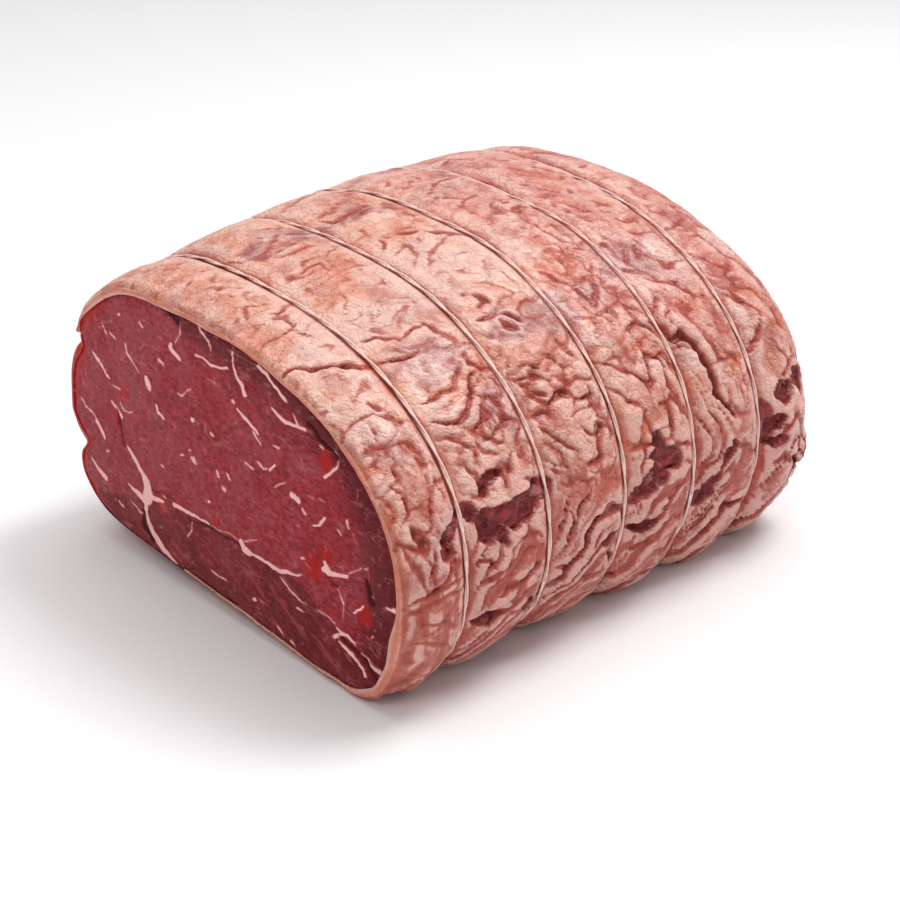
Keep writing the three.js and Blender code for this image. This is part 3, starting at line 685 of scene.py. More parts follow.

# %% Seams and dark clefts, drawn over four enlarged tiles of the photo
TRACE_ZOOM, PEN = 7, 0.82  # the tiles were seven times as large, and the pen a little too broad
TILES = {"left": (62, 280), "low left": (120, 430), "low right": (240, 500), "top right": (220, 330)}
SEAMS_DRAWN = {  # by tile: strength, start width, end width, points
    "left": [
        (1, 22, 16, [(225, 510), (265, 555), (300, 610), (345, 680)]),
        (0.7, 18, 18, [(370, 730), (400, 745), (425, 765)]),
        (1, 18, 24, [(365, 850), (395, 890), (435, 945)]),
        (0.7, 16, 16, [(425, 860), (440, 890), (480, 915), (520, 925)]),
        (0.7, 16, 16, [(150, 830), (175, 880), (230, 930), (255, 975)]),
        (1, 26, 18, [(255, 985), (285, 1040), (310, 1100)]),
        (1, 16, 28, [(225, 1240), (265, 1310), (320, 1380)]), (0.7, 22, 22, [(320, 1185), (350, 1200)]),
        (0.7, 30, 30, [(400, 235), (412, 238)]),
        (0.7, 22, 12, [(460, 440), (470, 500), (520, 580), (560, 650)]),
        (0.45, 14, 14, [(470, 500), (540, 560), (620, 590)]), (0.45, 18, 18, [(560, 490), (600, 430)]),
        (1, 34, 40, [(612, 690), (632, 735)]), (0.7, 26, 26, [(560, 300), (580, 320)]),
        (0.7, 18, 20, [(290, 310), (320, 370)]), (0.7, 20, 20, [(350, 365), (385, 410)]),
        (0.45, 24, 24, [(690, 400), (722, 408)]), (0.7, 28, 28, [(700, 555), (728, 582)]),
        (0.7, 16, 22, [(830, 300), (835, 370), (805, 430)]),
        (1, 36, 22, [(780, 450), (775, 470), (800, 500), (845, 550)]),
        (1, 22, 24, [(690, 880), (700, 920), (740, 960)]), (1, 36, 36, [(940, 968), (950, 974)]),
        (0.7, 20, 20, [(830, 795), (860, 810), (900, 770)]), (0.7, 22, 22, [(900, 772), (922, 760)]),
        (1, 16, 30, [(945, 520), (1000, 545), (1060, 590), (1110, 620), (1165, 615)]),
        (0.7, 16, 18, [(950, 320), (990, 370), (1030, 430), (1050, 490)]),
        (0.45, 22, 22, [(1040, 690), (1080, 710), (1130, 740)]), (0.7, 26, 26, [(1215, 835), (1226, 845)]),
        (0.45, 26, 26, [(1030, 1000), (1040, 1050)]), (0.7, 28, 28, [(1075, 1065), (1090, 1078)]),
        (0.7, 24, 24, [(920, 1183), (932, 1188)]), (0.7, 26, 22, [(862, 1216), (884, 1212)]),
        (0.7, 24, 24, [(940, 1240), (960, 1268)]), (0.45, 22, 22, [(800, 985), (825, 1015)]),
        (0.45, 22, 22, [(150, 690), (160, 720)]),
    ],
    "low left": [
        (1, 18, 36, [(75, 110), (120, 180), (160, 250), (200, 330)]),
        (1, 60, 86, [(212, 355), (225, 420), (222, 465)]),
        (1, 44, 14, [(240, 465), (300, 478), (335, 494)]), (0.7, 16, 16, [(330, 450), (348, 472)]),
        (1, 44, 22, [(212, 480), (203, 560), (210, 610)]), (1, 14, 50, [(80, 375), (130, 420), (190, 478)]),
        (0.7, 12, 20, [(90, 480), (150, 560), (205, 610)]),
        (1, 24, 52, [(205, 610), (225, 680), (260, 750), (300, 810)]),
        (1, 50, 16, [(300, 810), (340, 860), (395, 935)]),
        (1, 34, 18, [(405, 515), (470, 550), (540, 580), (590, 620), (640, 650)]),
        (0.7, 12, 14, [(640, 650), (720, 690), (800, 720), (860, 765)]),
        (1, 36, 44, [(870, 775), (890, 820), (940, 860)]),
        (1, 26, 34, [(930, 855), (1000, 890), (1060, 930), (1130, 965)]),
        (1, 34, 12, [(1130, 965), (1220, 990), (1300, 1008)]),
        (0.7, 26, 22, [(895, 772), (940, 762), (980, 764)]),
        (0.7, 22, 14, [(500, 735), (525, 690), (530, 640)]), (0.45, 20, 20, [(610, 690), (650, 702)]),
        (0.7, 20, 22, [(5, 495), (35, 530)]), (0.7, 24, 24, [(515, 130), (528, 133)]),
        (0.7, 26, 26, [(455, 170), (478, 160)]), (0.7, 24, 20, [(548, 188), (562, 215)]),
        (0.7, 26, 26, [(315, 232), (328, 240)]), (0.7, 26, 26, [(710, 285), (715, 310)]),
        (0.7, 22, 16, [(775, 305), (805, 345)]), (0.7, 30, 28, [(750, 395), (762, 408)]),
        (0.45, 22, 22, [(605, 395), (615, 405)]), (0.45, 24, 24, [(485, 405), (500, 415)]),
        (1, 28, 28, [(652, 500), (664, 502)]), (0.45, 22, 22, [(852, 470), (868, 474)]),
        (0.7, 22, 22, [(905, 220), (960, 265)]), (0.7, 22, 22, [(990, 220), (1030, 260), (1065, 270)]),
        (1, 28, 26, [(1080, 272), (1110, 245)]), (0.7, 20, 20, [(1108, 103), (1140, 120)]),
        (0.7, 26, 18, [(955, 15), (1005, 92)]), (0.7, 20, 20, [(1105, 395), (1150, 370), (1185, 355)]),
        (1, 42, 36, [(1228, 447), (1275, 490)]), (0.7, 20, 20, [(1300, 545), (1322, 582)]),
        (0.7, 20, 16, [(660, 985), (710, 1020), (760, 1050)]),
    ],
    "low right": [
        (0.7, 12, 26, [(300, 520), (345, 580), (370, 620), (400, 650)]),
        (0.7, 18, 10, [(400, 650), (440, 690), (490, 720)]), (0.7, 26, 22, [(422, 745), (460, 770)]),
        (0.7, 12, 18, [(560, 760), (620, 800), (680, 855)]),
        (1, 14, 22, [(690, 880), (720, 920), (760, 945)]),
        (1, 22, 12, [(760, 945), (800, 990), (822, 1022)]),
        (1, 36, 30, [(665, 945), (700, 930), (735, 935)]),
        (1, 12, 28, [(700, 980), (750, 1030), (800, 1080)]),
        (1, 22, 16, [(800, 1080), (840, 1130), (870, 1190), (885, 1240)]),
        (0.7, 14, 50, [(860, 1070), (920, 1150), (970, 1210), (1020, 1280), (1055, 1320)]),
        (0.7, 14, 24, [(700, 610), (725, 670), (740, 720)]),
        (0.7, 24, 10, [(740, 720), (735, 790), (730, 845)]),
        (1, 22, 34, [(530, 165), (570, 158), (612, 125)]), (0.7, 26, 24, [(765, 150), (768, 192)]),
        (0.7, 18, 20, [(700, 205), (722, 240)]), (0.45, 18, 18, [(800, 235), (832, 305)]),
        (1, 26, 50, [(612, 432), (632, 490)]),
        (1, 44, 32, [(600, 480), (640, 498), (700, 515), (760, 526)]),
        (0.7, 14, 20, [(770, 512), (820, 492), (860, 480)]), (0.7, 26, 28, [(880, 482), (905, 486)]),
        (0.45, 16, 12, [(905, 500), (912, 560)]), (0.7, 28, 28, [(455, 400), (468, 404)]),
        (0.45, 16, 12, [(480, 430), (505, 480)]), (1, 20, 28, [(810, 788), (840, 768), (878, 745)]),
        (0.7, 20, 20, [(925, 678), (948, 680)]), (0.7, 24, 22, [(928, 970), (942, 960)]),
        (1, 28, 28, [(108, 695), (125, 690)]), (0.7, 26, 18, [(280, 885), (312, 935)]),
        (0.7, 22, 16, [(368, 985), (388, 1022)]), (1, 12, 40, [(1015, 745), (1060, 768), (1110, 800)]),
    ],
    "top right": [
        (1, 12, 20, [(85, 150), (95, 240), (120, 310)]), (1, 20, 30, [(120, 310), (160, 380), (188, 452)]),
        (0.7, 26, 26, [(105, 488), (118, 492)]), (1, 12, 28, [(140, 540), (180, 600), (230, 650)]),
        (1, 28, 16, [(230, 650), (285, 718)]), (0.7, 24, 14, [(278, 748), (308, 795)]),
        (1, 24, 18, [(268, 248), (330, 320), (380, 390)]),
        (1, 18, 24, [(380, 390), (430, 450), (462, 492)]),
        (1, 16, 26, [(372, 545), (420, 590), (470, 640)]),
        (1, 28, 20, [(470, 640), (530, 658), (580, 680), (608, 692)]),
        (0.7, 14, 16, [(515, 588), (545, 650)]), (1, 32, 24, [(742, 1030), (790, 1000), (825, 960)]),
        (0.7, 22, 12, [(825, 960), (830, 900), (808, 850)]), (0.7, 24, 20, [(712, 812), (728, 832)]),
        (0.7, 22, 18, [(395, 800), (430, 822)]), (0.45, 16, 16, [(365, 1250), (425, 1310)]),
        (0.45, 18, 18, [(962, 1128), (955, 1172)]), (0.45, 18, 18, [(610, 975), (630, 990)]),
    ],
}
# the clefts are shallow dents, and the shade inside them is painted on, near black
CLEFT_SHADE_DRAWN = {  # by tile: start width, end width, points
    "left": [
        (30, 56, [(690, 190), (760, 240), (815, 290)]), (14, 12, [(400, 900), (430, 1040), (450, 1140)]),
    ],
    "low left": [
        (16, 14, [(270, 430), (300, 445)]), (12, 16, [(560, 640), (720, 720), (850, 790)]),
        (30, 40, [(180, 560), (170, 660), (230, 760)]),
    ],
    "low right": [
        (24, 50, [(885, 560), (905, 640), (925, 715)]), (14, 14, [(640, 560), (700, 600)]),
        (14, 18, [(700, 940), (770, 1010), (830, 1070)]),
        (24, 20, [(880, 1120), (940, 1240), (1000, 1330)]),
    ],
    "top right": [
        (24, 30, [(620, 650), (700, 760), (830, 900)]),
    ],
}


# %% The same lines in millimetres on the cut
def drawn_line(tile, start, end, points):
    """Start width, end width and points (h, z) of a line that was drawn on a tile."""
    pixels = np.array(TILES[tile]) + np.array(points) / TRACE_ZOOM
    line = on_cut(pixels)
    widths = []
    for width, a, b in ((start, 0, 1), (end, -2, -1)):
        corner = on_cut(pixels[a] + np.array([(0, 0), (1, 0), (0, 1)]))
        area = abs(np.linalg.det(corner[1:] - corner[0]))
        shorter = math.dist(pixels[a], pixels[b]) / math.dist(line[a], line[b])
        widths.append(round(PEN * width / TRACE_ZOOM * area * shorter, 1))
    return *widths, line.round(1)


SEAMS = [(strength, *drawn_line(tile, *line))
         for tile, lines in SEAMS_DRAWN.items() for strength, *line in lines]
CLEFT_SHADE = [drawn_line(tile, *line) for tile, lines in CLEFT_SHADE_DRAWN.items() for line in lines]
RED = [  # scarlet spots on the cut: h, z, size
    (49, 61, 3.5), (43, 31, 4.5), (-25, 24, 3.5), (-41, 52, 3.5), (48, 36, 3), (62, 25, 4), (-14, 28, 2),
    (2, 28, 2), (-69, 53, 3.5), (-73, 47, 3), (-75, 40, 3), (-73, 26, 4.5), (-69, 19, 4),
]
print(len(SEAMS), "seams and", len(CLEFT_SHADE), "dark clefts in the cut")


# %% The relief and masks of the cut
LONG_SEAM = ([-76, -40, -33, -19, 14, 38, 47, 56, 70], [14, 22, 25, 27, 27, 26, 20, 16, 8])  # h, z


def cut_face(h, z, rim_share, seed, soft):
    wh, wz = h + 0.35 * noise(h, z, 3, seed, 2), z + 0.35 * noise(h, z, 3, seed + 1, 2)
    along, across = wh * 0.5 + wz * 0.87, wh * 0.87 - wz * 0.5
    seam = np.zeros(h.shape)
    for strength, start, end, points in SEAMS:
        seam = np.maximum(seam, strength * stroke(wh, wz, points, start, end, soft))
    # painted shade in the clefts
    dark = np.zeros(h.shape)
    for start, end, points in CLEFT_SHADE:
        dark = np.maximum(dark, stroke(wh, wz, points, start, end, 0.7))
    red = np.zeros(h.shape)
    for ch, cz, size in RED:
        red = np.maximum(red, np.exp(-((h - ch) ** 2 + (z - cz) ** 2) / size ** 2))
    # juice shows scarlet where the bare left flank rounds over into the cut
    juice = smooth((rim_share - 0.945) / 0.03) * smooth((-44 - h) / 10) * smooth((z - 9) / 5)
    red = np.maximum(red, 1.2 * juice)
    # the long seam parts the large muscle from the strip below it
    strip = smooth((np.interp(h, *LONG_SEAM) - z) / 2.5)
    top = smooth((z - mix(74, 58, smooth((h + 12) / 50))) / 5) * smooth((h + 14) / 5)
    # the tone is partly darker muscle and partly painted shade: darker on the strip below the long seam and
    # to the right, and lighter at the upper left
    tone = 0.2 * noise(h, z, 18, seed + 8, 3) + 0.75 * strip + 0.5 * top
    tone = tone + 0.55 * smooth((h - 48) / 16) * (1 - strip)
    tone = tone + 0.45 * smooth((rim_share - 0.84) / 0.1) * smooth((h + 20) / 8) * (1 - strip)
    tone = tone - 0.5 * np.exp(-(((h + 30) / 22) ** 2 + ((z - 74) / 12) ** 2))
    grain = noise(along / 3, across, 1.6, seed + 9, 2)
    relief = 0.22 * noise(h, z, 12, seed + 10, 3) + 0.10 * grain + 0.25 * seam - 0.5 * dark
    relief = relief - 0.35 * smooth((rim_share - 0.965) / 0.035)
    return relief, {"seam": seam, "dark": dark, "red": red, "tone": tone, "strip": strip}


# %% Build the lean: the shown cut, the flank and the far cut
CLEFTS = (  # share round, depth, share of it kept at the far end, width
    (0.062, 5.5, 0.5, 3.6), (0.972, 6.0, 0.4, 3.6),
)
RIM_STANDS_BACK = [  # how far the flaps of the bare flank stand back at the cut, by s from the seam
    (-60, 0), (-40, 1.5), (-27.5, 3.4), (-23, 3.7), (-19, 5), (-14.8, 7), (-10.7, 12), (-8, 11),
    (-5.4, 8.5), (-2.2, 6), (0, 4.6), (6.3, 4.9), (14.6, 4.3), (21, 4.8), (26, 6), (29.9, 6), (33, 1.5),
    (36, 0),
]
FLANK_ROUND, UNDER_GAP, CUT_MIDDLE = 6.5, 0.12, 41.8
CRISP, COARSE = 0.26, 0.9  # how soft the seams end, in millimetres, on the shown and on the far cut
COVERED_POINTS, BARE_POINTS, SKIPPED = 390, 142, 4
covered = np.linspace(FAT_FROM, FAT_TO, COVERED_POINTS)
bare_u = np.linspace(FAT_TO, 1 + FAT_FROM, BARE_POINTS)[1:-1]
lean_u = np.concatenate([covered, bare_u])
side_u = np.concatenate([covered[::SKIPPED], bare_u])


def lean_ring(x, u):
    """One ring of the lean: under the cover it lies below it, and on the bare flank it shows."""
    wrapped = np.where(u > 1, u - 1, u)
    thick = fat_depth(wrapped, x)
    sink = np.where(thick > 0, thick + UNDER_GAP, 0.0)
    bare = (u > FAT_TO + 0.004) & (u < 1 + FAT_FROM - 0.004)
    s = u * AROUND
    rise = np.zeros(len(u))
    for at, deep, fade, width in CLEFTS:
        away = (wrapped - at - np.round(wrapped - at)) * AROUND
        rise -= deep * mix(1, fade, smooth(x / LENGTH)) * np.exp(-(away / width) ** 2)
    # the bare flank rounds over into the cut, and its flaps stand back there
    rounded = 1 - math.sqrt(1 - (1 - min(x / FLANK_ROUND, 1)) ** 2)
    rim_s, stands_back = np.array(RIM_STANDS_BACK).T
    rise = mix(rise, -np.interp(np.where(s > 300, s - AROUND, s), rim_s, stands_back), rounded)
    xs = np.full(len(u), float(x))
    lump = 1.1 * noise(xs, s, 17, 211, 2) + 0.4 * noise(xs / 3.5, s, 4.5, 212, 2)
    lump = (lump - 0.3) * (0.15 + 0.85 * float(smooth(from_string(x) / 6)))
    rise += np.where(bare, lump * float(smooth(x / 4)), 0)
    rise -= np.where(bare, 0.7 * np.exp(-(float(from_string(x)) / 1.15) ** 2), 0)
    return skin([x], u, rise[None], sink[None])[0]


def fan(ring, x, dome, rings, seed, soft):
    """A cut, as rings from just inside its rim to its middle, which stands out by dome."""
    middle = np.array([x, 0.0, CUT_MIDDLE])
    shares = 1 - np.linspace(0, 1, rings + 1)[1:-1] ** 1.25
    points = middle + (ring - middle)[None] * shares[:, None, None]
    rim_share = np.broadcast_to(shares[:, None], points.shape[:2])
    relief, masks = cut_face(-points[:, :, 1], points[:, :, 2], rim_share, seed, soft)
    sign = 1 if dome > 0 else -1
    points[:, :, 0] = x + dome * (1 - shares[:, None] ** 2.2) + sign * relief
    _, rim_masks = cut_face(-ring[:, 1], ring[:, 2], np.ones(len(ring)), seed, soft)
    return points, masks, rim_masks, np.array([[x + dome, 0.0, CUT_MIDDLE]])


near_ring = lean_ring(0.0, lean_u)
near_fan, near_masks, near_rim_masks, near_mid = fan(near_ring, 0.0, -1.2, 134, 301, CRISP)
side_rows = np.concatenate([[0.25, 0.7, 1.4, 2.3, 3.4, 4.7, 6.2], np.linspace(8, LENGTH, 70)])
side = np.stack([lean_ring(x, side_u) for x in side_rows])
far_fan, far_masks, _, far_mid = fan(side[-1], LENGTH, 3.0, 37, 401, COARSE)
wide, narrow = len(lean_u), len(side_u)
lean_points = np.concatenate([near_mid, near_fan[::-1].reshape(-1, 3), near_ring,
                              side.reshape(-1, 3), far_fan.reshape(-1, 3), far_mid])
at = 1
near_n = np.arange(at, at + near_fan.shape[0] * wide).reshape(-1, wide)
at += near_n.size
rim_n = np.arange(at, at + wide)
at += wide
side_n = np.arange(at, at + side.shape[0] * narrow).reshape(-1, narrow)
at += side_n.size
far_n = np.arange(at, at + far_fan.shape[0] * narrow).reshape(-1, narrow)
at += far_n.size
faces = [(0, int(a), int(b)) for a, b in zip(near_n[0], np.roll(near_n[0], -1))]
faces += quads(np.concatenate([near_n, rim_n[None]])[::-1], closed=True)
loop_a, loop_b = np.append(rim_n, rim_n[0]).tolist(), np.append(side_n[0], side_n[0, 0]).tolist()
turn_a, turn_b = np.append(lean_u, lean_u[0] + 1), np.append(side_u, side_u[0] + 1)
side_faces = [f[::-1] for f in stitch(loop_a, turn_a, loop_b, turn_b)]
side_faces += [f[::-1] for f in quads(side_n, closed=True)]
far_faces = [f[::-1] for f in quads(np.concatenate([side_n[-1:], far_n]), closed=True)]
far_faces += [(at, int(b), int(a)) for a, b in zip(far_n[-1], np.roll(far_n[-1], -1))]
lean_faces = faces + side_faces + far_faces
lean_marks = {}
side_size = side.shape[0] * narrow
for key in near_masks:
    parts = [np.zeros(1), near_masks[key][::-1].ravel(), near_rim_masks[key], np.zeros(side_size),
             far_masks[key].ravel(), np.zeros(1)]
    lean_marks[key] = np.concatenate(parts)
flank, bevel = np.zeros(len(lean_points)), np.zeros(len(lean_points))
flank[side_n] = 1
bevel[side_n] = np.clip(1.1 - side_rows / 7, 0, 1)[:, None]
lean_marks["flank"], lean_marks["bevel"] = flank, bevel
lean = make_piece("beef_lean", "lean", lean_points, lean_faces, lean_marks)

# %% [markdown]
# ## The strings
# Butcher's string is two yarns of cotton laid round each other. Pressed into wet fat it
# looks like a pair of pale threads with a dark line between. A plain tube with a bumpy finish
# would lose that line. Each string is therefore two thin tubes that wind round one loop,
# slowly, and the loop follows the pinched section.

# %% Build the strings
YARN_SIDES, YARN_RADIUS, YARN_OFFSET, YARN_TURNS, LOOP_POINTS = 9, 0.27, 0.25, 20, 620


def yarn(loop, out, x, phase):
    """One of the two yarns, as rings of points round its winding middle line."""
    spin = np.linspace(0, 2 * math.pi * YARN_TURNS, len(loop), endpoint=False) + phase
    centre = loop + out * (np.cos(spin) * YARN_OFFSET)[:, None]
    ring = np.linspace(0, 2 * math.pi, YARN_SIDES, endpoint=False)
    outward = YARN_RADIUS * np.cos(ring)[None]
    points = np.zeros((len(loop), YARN_SIDES, 3))
    points[:, :, 0] = (x + np.sin(spin) * YARN_OFFSET)[:, None] + YARN_RADIUS * np.sin(ring)[None]
    points[:, :, 1] = -(centre[:, 0, None] + out[:, 0, None] * outward)
    points[:, :, 2] = centre[:, 1, None] + out[:, 1, None] * outward
    return points


def tie(number, x, seed):
    s = np.linspace(0, 1, LOOP_POINTS, endpoint=False) * AROUND
    loop, out = section(x, s / AROUND)
    sway = 0.35 * noise(s, s * 0, 40, seed, 2) * np.sin(math.pi * s / AROUND)
    lift = 0.42 + 0.08 * noise(s, s * 0, 15, seed + 1, 2)
    loop = loop + out * (lift + settle(np.full(len(s), x), s))[:, None]
    yarns = [yarn(loop, out, x + sway, phase + seed) for phase in (0.0, math.pi)]
    faces = []
    for k in range(len(yarns)):
        ids = np.arange(LOOP_POINTS * YARN_SIDES).reshape(LOOP_POINTS, YARN_SIDES)
        ids = ids + k * LOOP_POINTS * YARN_SIDES
        faces += quads(np.concatenate([ids, ids[:1]]), closed=True)
    points = np.concatenate(yarns).reshape(-1, 3)
    return make_piece(f"tie_{number}", f"string_{number}", points, faces, {})


ties = [tie(i + 1, float(x), 500 + 10 * i) for i, x in enumerate(STRINGS)]

# %% [markdown]
# ## Finishes as Python expressions
# A finish is a tree of nodes. Writing it as sums is easier to read, so a small class wraps
# one output of a node: adding or multiplying two of them adds a Math node, and any other
# node comes from one method. Joining nodes one by one would say the same in many more lines.

# %% The wrapper
class Wire:
    """One output of a node. Arithmetic on it adds Math nodes to its finish."""

    def __init__(self, finish, socket):
        self.finish, self.socket = finish, socket

    def math(self, operation, first, second=0.0):
        return self.finish.node("Math", {"operation": operation}, {0: first, 1: second})

    def __add__(self, other):
        return self.math("ADD", self, other)

    def __radd__(self, other):
        return self.math("ADD", other, self)

    def __sub__(self, other):
        return self.math("SUBTRACT", self, other)

    def __rsub__(self, other):
        return self.math("SUBTRACT", other, self)

    def __mul__(self, other):
        return self.math("MULTIPLY", self, other)

    def __rmul__(self, other):
        return self.math("MULTIPLY", other, self)

    def between(self, low, high):
        """0 at low, 1 at high, eased and held there."""
        return self.finish.node("MapRange", {"interpolation_type": "SMOOTHSTEP"},
                                {0: self, 1: low, 2: high, 3: 0.0, 4: 1.0})


class Finish:
    """A material made by expressions, with one Principled shader."""

    def __init__(self, name, **fixed):
        self.material = bpy.data.materials.new(name)
        self.material.use_nodes = True
        self.tree = self.material.node_tree
        self.shader = self.tree.nodes["Principled BSDF"]
        for key, value in fixed.items():
            self.shader.inputs[key.replace("_", " ")].default_value = value
        self.place = self.node("TexCoord", out="Object")

    def node(self, kind, settings=None, sockets=None, out=0):
        made = self.tree.nodes.new("ShaderNode" + kind)
        for key, value in (settings or {}).items():
            setattr(made, key, value)
        for key, value in (sockets or {}).items():
            if isinstance(value, Wire):
                self.tree.links.new(value.socket, made.inputs[key])
            else:
                made.inputs[key].default_value = value
        return Wire(self, made.outputs[out])

    def mark(self, name):
        return self.node("Attribute", {"attribute_name": name}, out="Fac")

    def noise(self, scale, detail=3.0, rough=0.55, warp=0.0, place=None):
        return self.node("TexNoise", {}, {"Vector": place or self.place, "Scale": scale, "Detail": detail,
                                          "Roughness": rough, "Distortion": warp}, out="Fac")

    def cells(self, scale, feature="DISTANCE_TO_EDGE", place=None):
        sockets = {"Vector": place or self.place, "Scale": scale}
        return self.node("TexVoronoi", {"feature": feature}, sockets, out="Distance")

    def warp(self, place, scale, amount):
        """The same place, moved about by up to amount metres."""
        stir = self.node("TexNoise", {}, {"Vector": place, "Scale": scale, "Detail": 2.0}, out="Color")
        stir = self.node("VectorMath", {"operation": "SUBTRACT"}, {0: stir, 1: (0.5, 0.5, 0.5)})
        stir = self.node("VectorMath", {"operation": "SCALE"}, {0: stir, "Scale": 2 * amount})
        return self.node("VectorMath", {"operation": "ADD"}, {0: place, 1: stir})

    def stretch(self, x, y, z, turn=(0, 0, 0)):
        return self.node("Mapping", {}, {"Vector": self.place, "Scale": (x, y, z), "Rotation": turn})

    def blend(self, first, second, share):
        def four(c):
            return c if isinstance(c, Wire) else (*c, 1.0)
        return self.node("Mix", {"data_type": "RGBA", "clamp_factor": True},
                         {0: share, 6: four(first), 7: four(second)}, out=2)

    def layers(self, base, coats):
        """Colours laid over a base in turn, each where its share is high."""
        for coat, share in coats:
            base = self.blend(base, coat, share)
        return base

    def feed(self, **sockets):
        for key, value in sockets.items():
            self.tree.links.new(value.socket, self.shader.inputs[key.replace("_", " ")])

    def bump(self, height, strength, distance):
        sockets = {"Height": height, "Strength": strength, "Distance": distance}
        return self.node("Bump", {}, sockets, out="Normal")

    def dress(self, *pieces):
        for piece in pieces:
            piece.data.materials.clear()
            piece.data.materials.append(self.material)
        print(self.material.name, "uses", len(self.tree.nodes), "nodes")


# %% [markdown]
# ## The finish of the cover
# Raw beef fat is peach where it is thick and dry, greyish pink where a thin skin of
# connective tissue covers it, and mauve where muscle lies just below. Cracks fill with red
# juice. Shade is painted into the hollows of the relief, and highlight onto its crests and
# onto a few pale patches. It could be painted by hand, but then each change of shape would
# need new paint. So the masks of the relief say where each colour goes, and fine noise
# breaks it up. Each colour is a layer over the ones before it.

# %% Fat: what varies over it
F = Finish("fat_cover_finish", Specular_IOR_Level=0.12, Coat_Weight=0.3, Coat_Roughness=0.18,
           Subsurface_Weight=0.08, Subsurface_Radius=(0.003, 0.001, 0.0007), Subsurface_Scale=1.0)
mottle, speckle = F.noise(95, 5, 0.62, 0.4), F.noise(430, 4, 0.68)
patch, veins = F.noise(38, 3, 0.5), F.noise(190, 6, 0.72, 0.8)
ripple = F.cells(250, place=F.warp(F.place, 150, 0.004))
crumple = F.mark("crumpled").between(0.3, 0.9)
# painted shade in the hollows and painted highlight on the crests
hollow = F.mark("hollow") + 0.5 * (veins - 0.5)
ragged = F.mark("bare") + 0.9 * (veins - 0.5)
creased = F.mark("drawn") + 0.5 * (veins - 0.5)
cracked = F.mark("crack") + 0.7 * (veins - 0.5)
ruddy = (F.mark("own") + mottle).between(1.2, 1.45) * crumple
thin_veins = (1 - ripple.between(0.02, 0.11)) * patch.between(0.40, 0.56) * (0.45 + 0.55 * crumple)
clouded = mottle.between(0.35, 0.65)

# %% Fat: its colours, one over the other
peach = F.blend((0.72, 0.28, 0.19), (0.86, 0.52, 0.41), clouded)
pink = F.blend((0.66, 0.20, 0.17), (0.86, 0.46, 0.40), clouded)
greyish = F.blend((0.50, 0.155, 0.115), (0.78, 0.41, 0.33), clouded)
muscle = F.blend((0.10, 0.007, 0.010), (0.34, 0.040, 0.044), veins.between(0.35, 0.65))
muscle = F.blend(muscle, (0.62, 0.22, 0.20), F.noise(120, 3, 0.6, 1.5).between(0.56, 0.68) * 0.6)
rim_tone = F.mark("edge").between(0.4, 0.9) + 0.7 * (mottle - 0.5)
cut_edge = F.blend((0.68, 0.19, 0.11), (0.82, 0.42, 0.34), rim_tone)
F.feed(Base_Color=F.layers(peach, [
    (pink, F.mark("rosy")),
    (greyish, crumple * 0.8),
    ((0.66, 0.22, 0.12), ruddy * 0.5),
    ((0.62, 0.17, 0.09), patch.between(0.52, 0.68) * 0.35),
    ((0.62, 0.16, 0.075), F.mark("tan").between(0.15, 1.1) * 0.7),
    ((0.30, 0.085, 0.105), F.mark("mauve").between(0.15, 1.1) * 0.7),
    # pale patches of painted highlight
    ((0.86, 0.60, 0.54), F.mark("chalk").between(0.15, 1.1) * 0.6),
    ((0.45, 0.07, 0.052), F.mark("low").between(0.1, 1.0) * 0.8),
    ((0.42, 0.075, 0.05), thin_veins * 0.5),
    # painted highlight on the crests, and below it painted shade in the hollows, mixed with the red of juice
    ((0.90, 0.56, 0.49), hollow.between(-0.05, -0.5) * 0.6),  # crests
    ((0.42, 0.07, 0.045), hollow.between(0.0, 0.45) * 0.8),
    ((0.40, 0.06, 0.04), creased.between(0.1, 0.7) * 0.85),
    ((0.38, 0.055, 0.035), cracked.between(0.2, 0.8) * 0.75),
    ((0.78, 0.55, 0.47), speckle.between(0.58, 0.74) * 0.3),
    ((0.34, 0.05, 0.045), ragged.between(0.0, 0.55) * 0.8),  # the torn edge of a gap
    (muscle, ragged.between(0.35, 0.95)),
    # painted shade, near black, in the deepest hollows
    ((0.20, 0.022, 0.018), hollow.between(0.45, 1.2) * 0.8),
    ((0.42, 0.012, 0.008), F.mark("tip").between(0.3, 0.9)),
    (cut_edge, F.mark("edge").between(0.0, 0.3) * (0.55 + 0.6 * patch)),
]))

# %% Fat: its sheen and fine grain
wrinkle = 1 - F.cells(520, place=F.warp(F.place, 260, 0.003)).between(0.0, 0.3)
grain = 0.4 * ripple.between(0.0, 0.3) * crumple + 0.5 * speckle + 0.9 * veins - 0.4 * wrinkle
F.feed(Roughness=0.26 + 0.3 * mottle, Normal=F.bump(grain, 0.8, 0.0009))
F.dress(fat)

# %% [markdown]
# ## The finish of the lean
# Cut muscle is deep red with a purple cast. Its fibres show as a fine grain on the cut and as
# streaks in the lower strip, where they lie along the cut. One plain red would look like
# plastic, so several reds are laid over each other. The seam mask turns the red pale, and the
# tone mask darkens the muscles that are darker on this joint. The tone mask also holds
# painted shade: darker on the lower strip and to the right, and lighter at the upper left.
# It is damp but hardly shines.

# %% Lean: what varies over it
M = Finish("lean_finish", Specular_IOR_Level=0.05, Coat_Weight=0.05, Coat_Roughness=0.15)
weave = M.noise(900, 5, 0.7, 0.3, place=M.stretch(1, 0.5, 1, (0.6, 0, 0)))
cloud, dots = M.noise(70, 4, 0.6, 0.5), M.noise(480, 4, 0.66)
threads = M.noise(300, 5, 0.7, 0.8, place=M.stretch(1, 0.35, 1, (-0.7, 0, 0)))
specks = M.cells(330, "F1", place=M.warp(M.stretch(1, 0.4, 1, (-0.6, 0, 0)), 400, 0.0006))
dashes = (1 - specks.between(0.12, 0.24)) * M.noise(150, 2).between(0.52, 0.64)
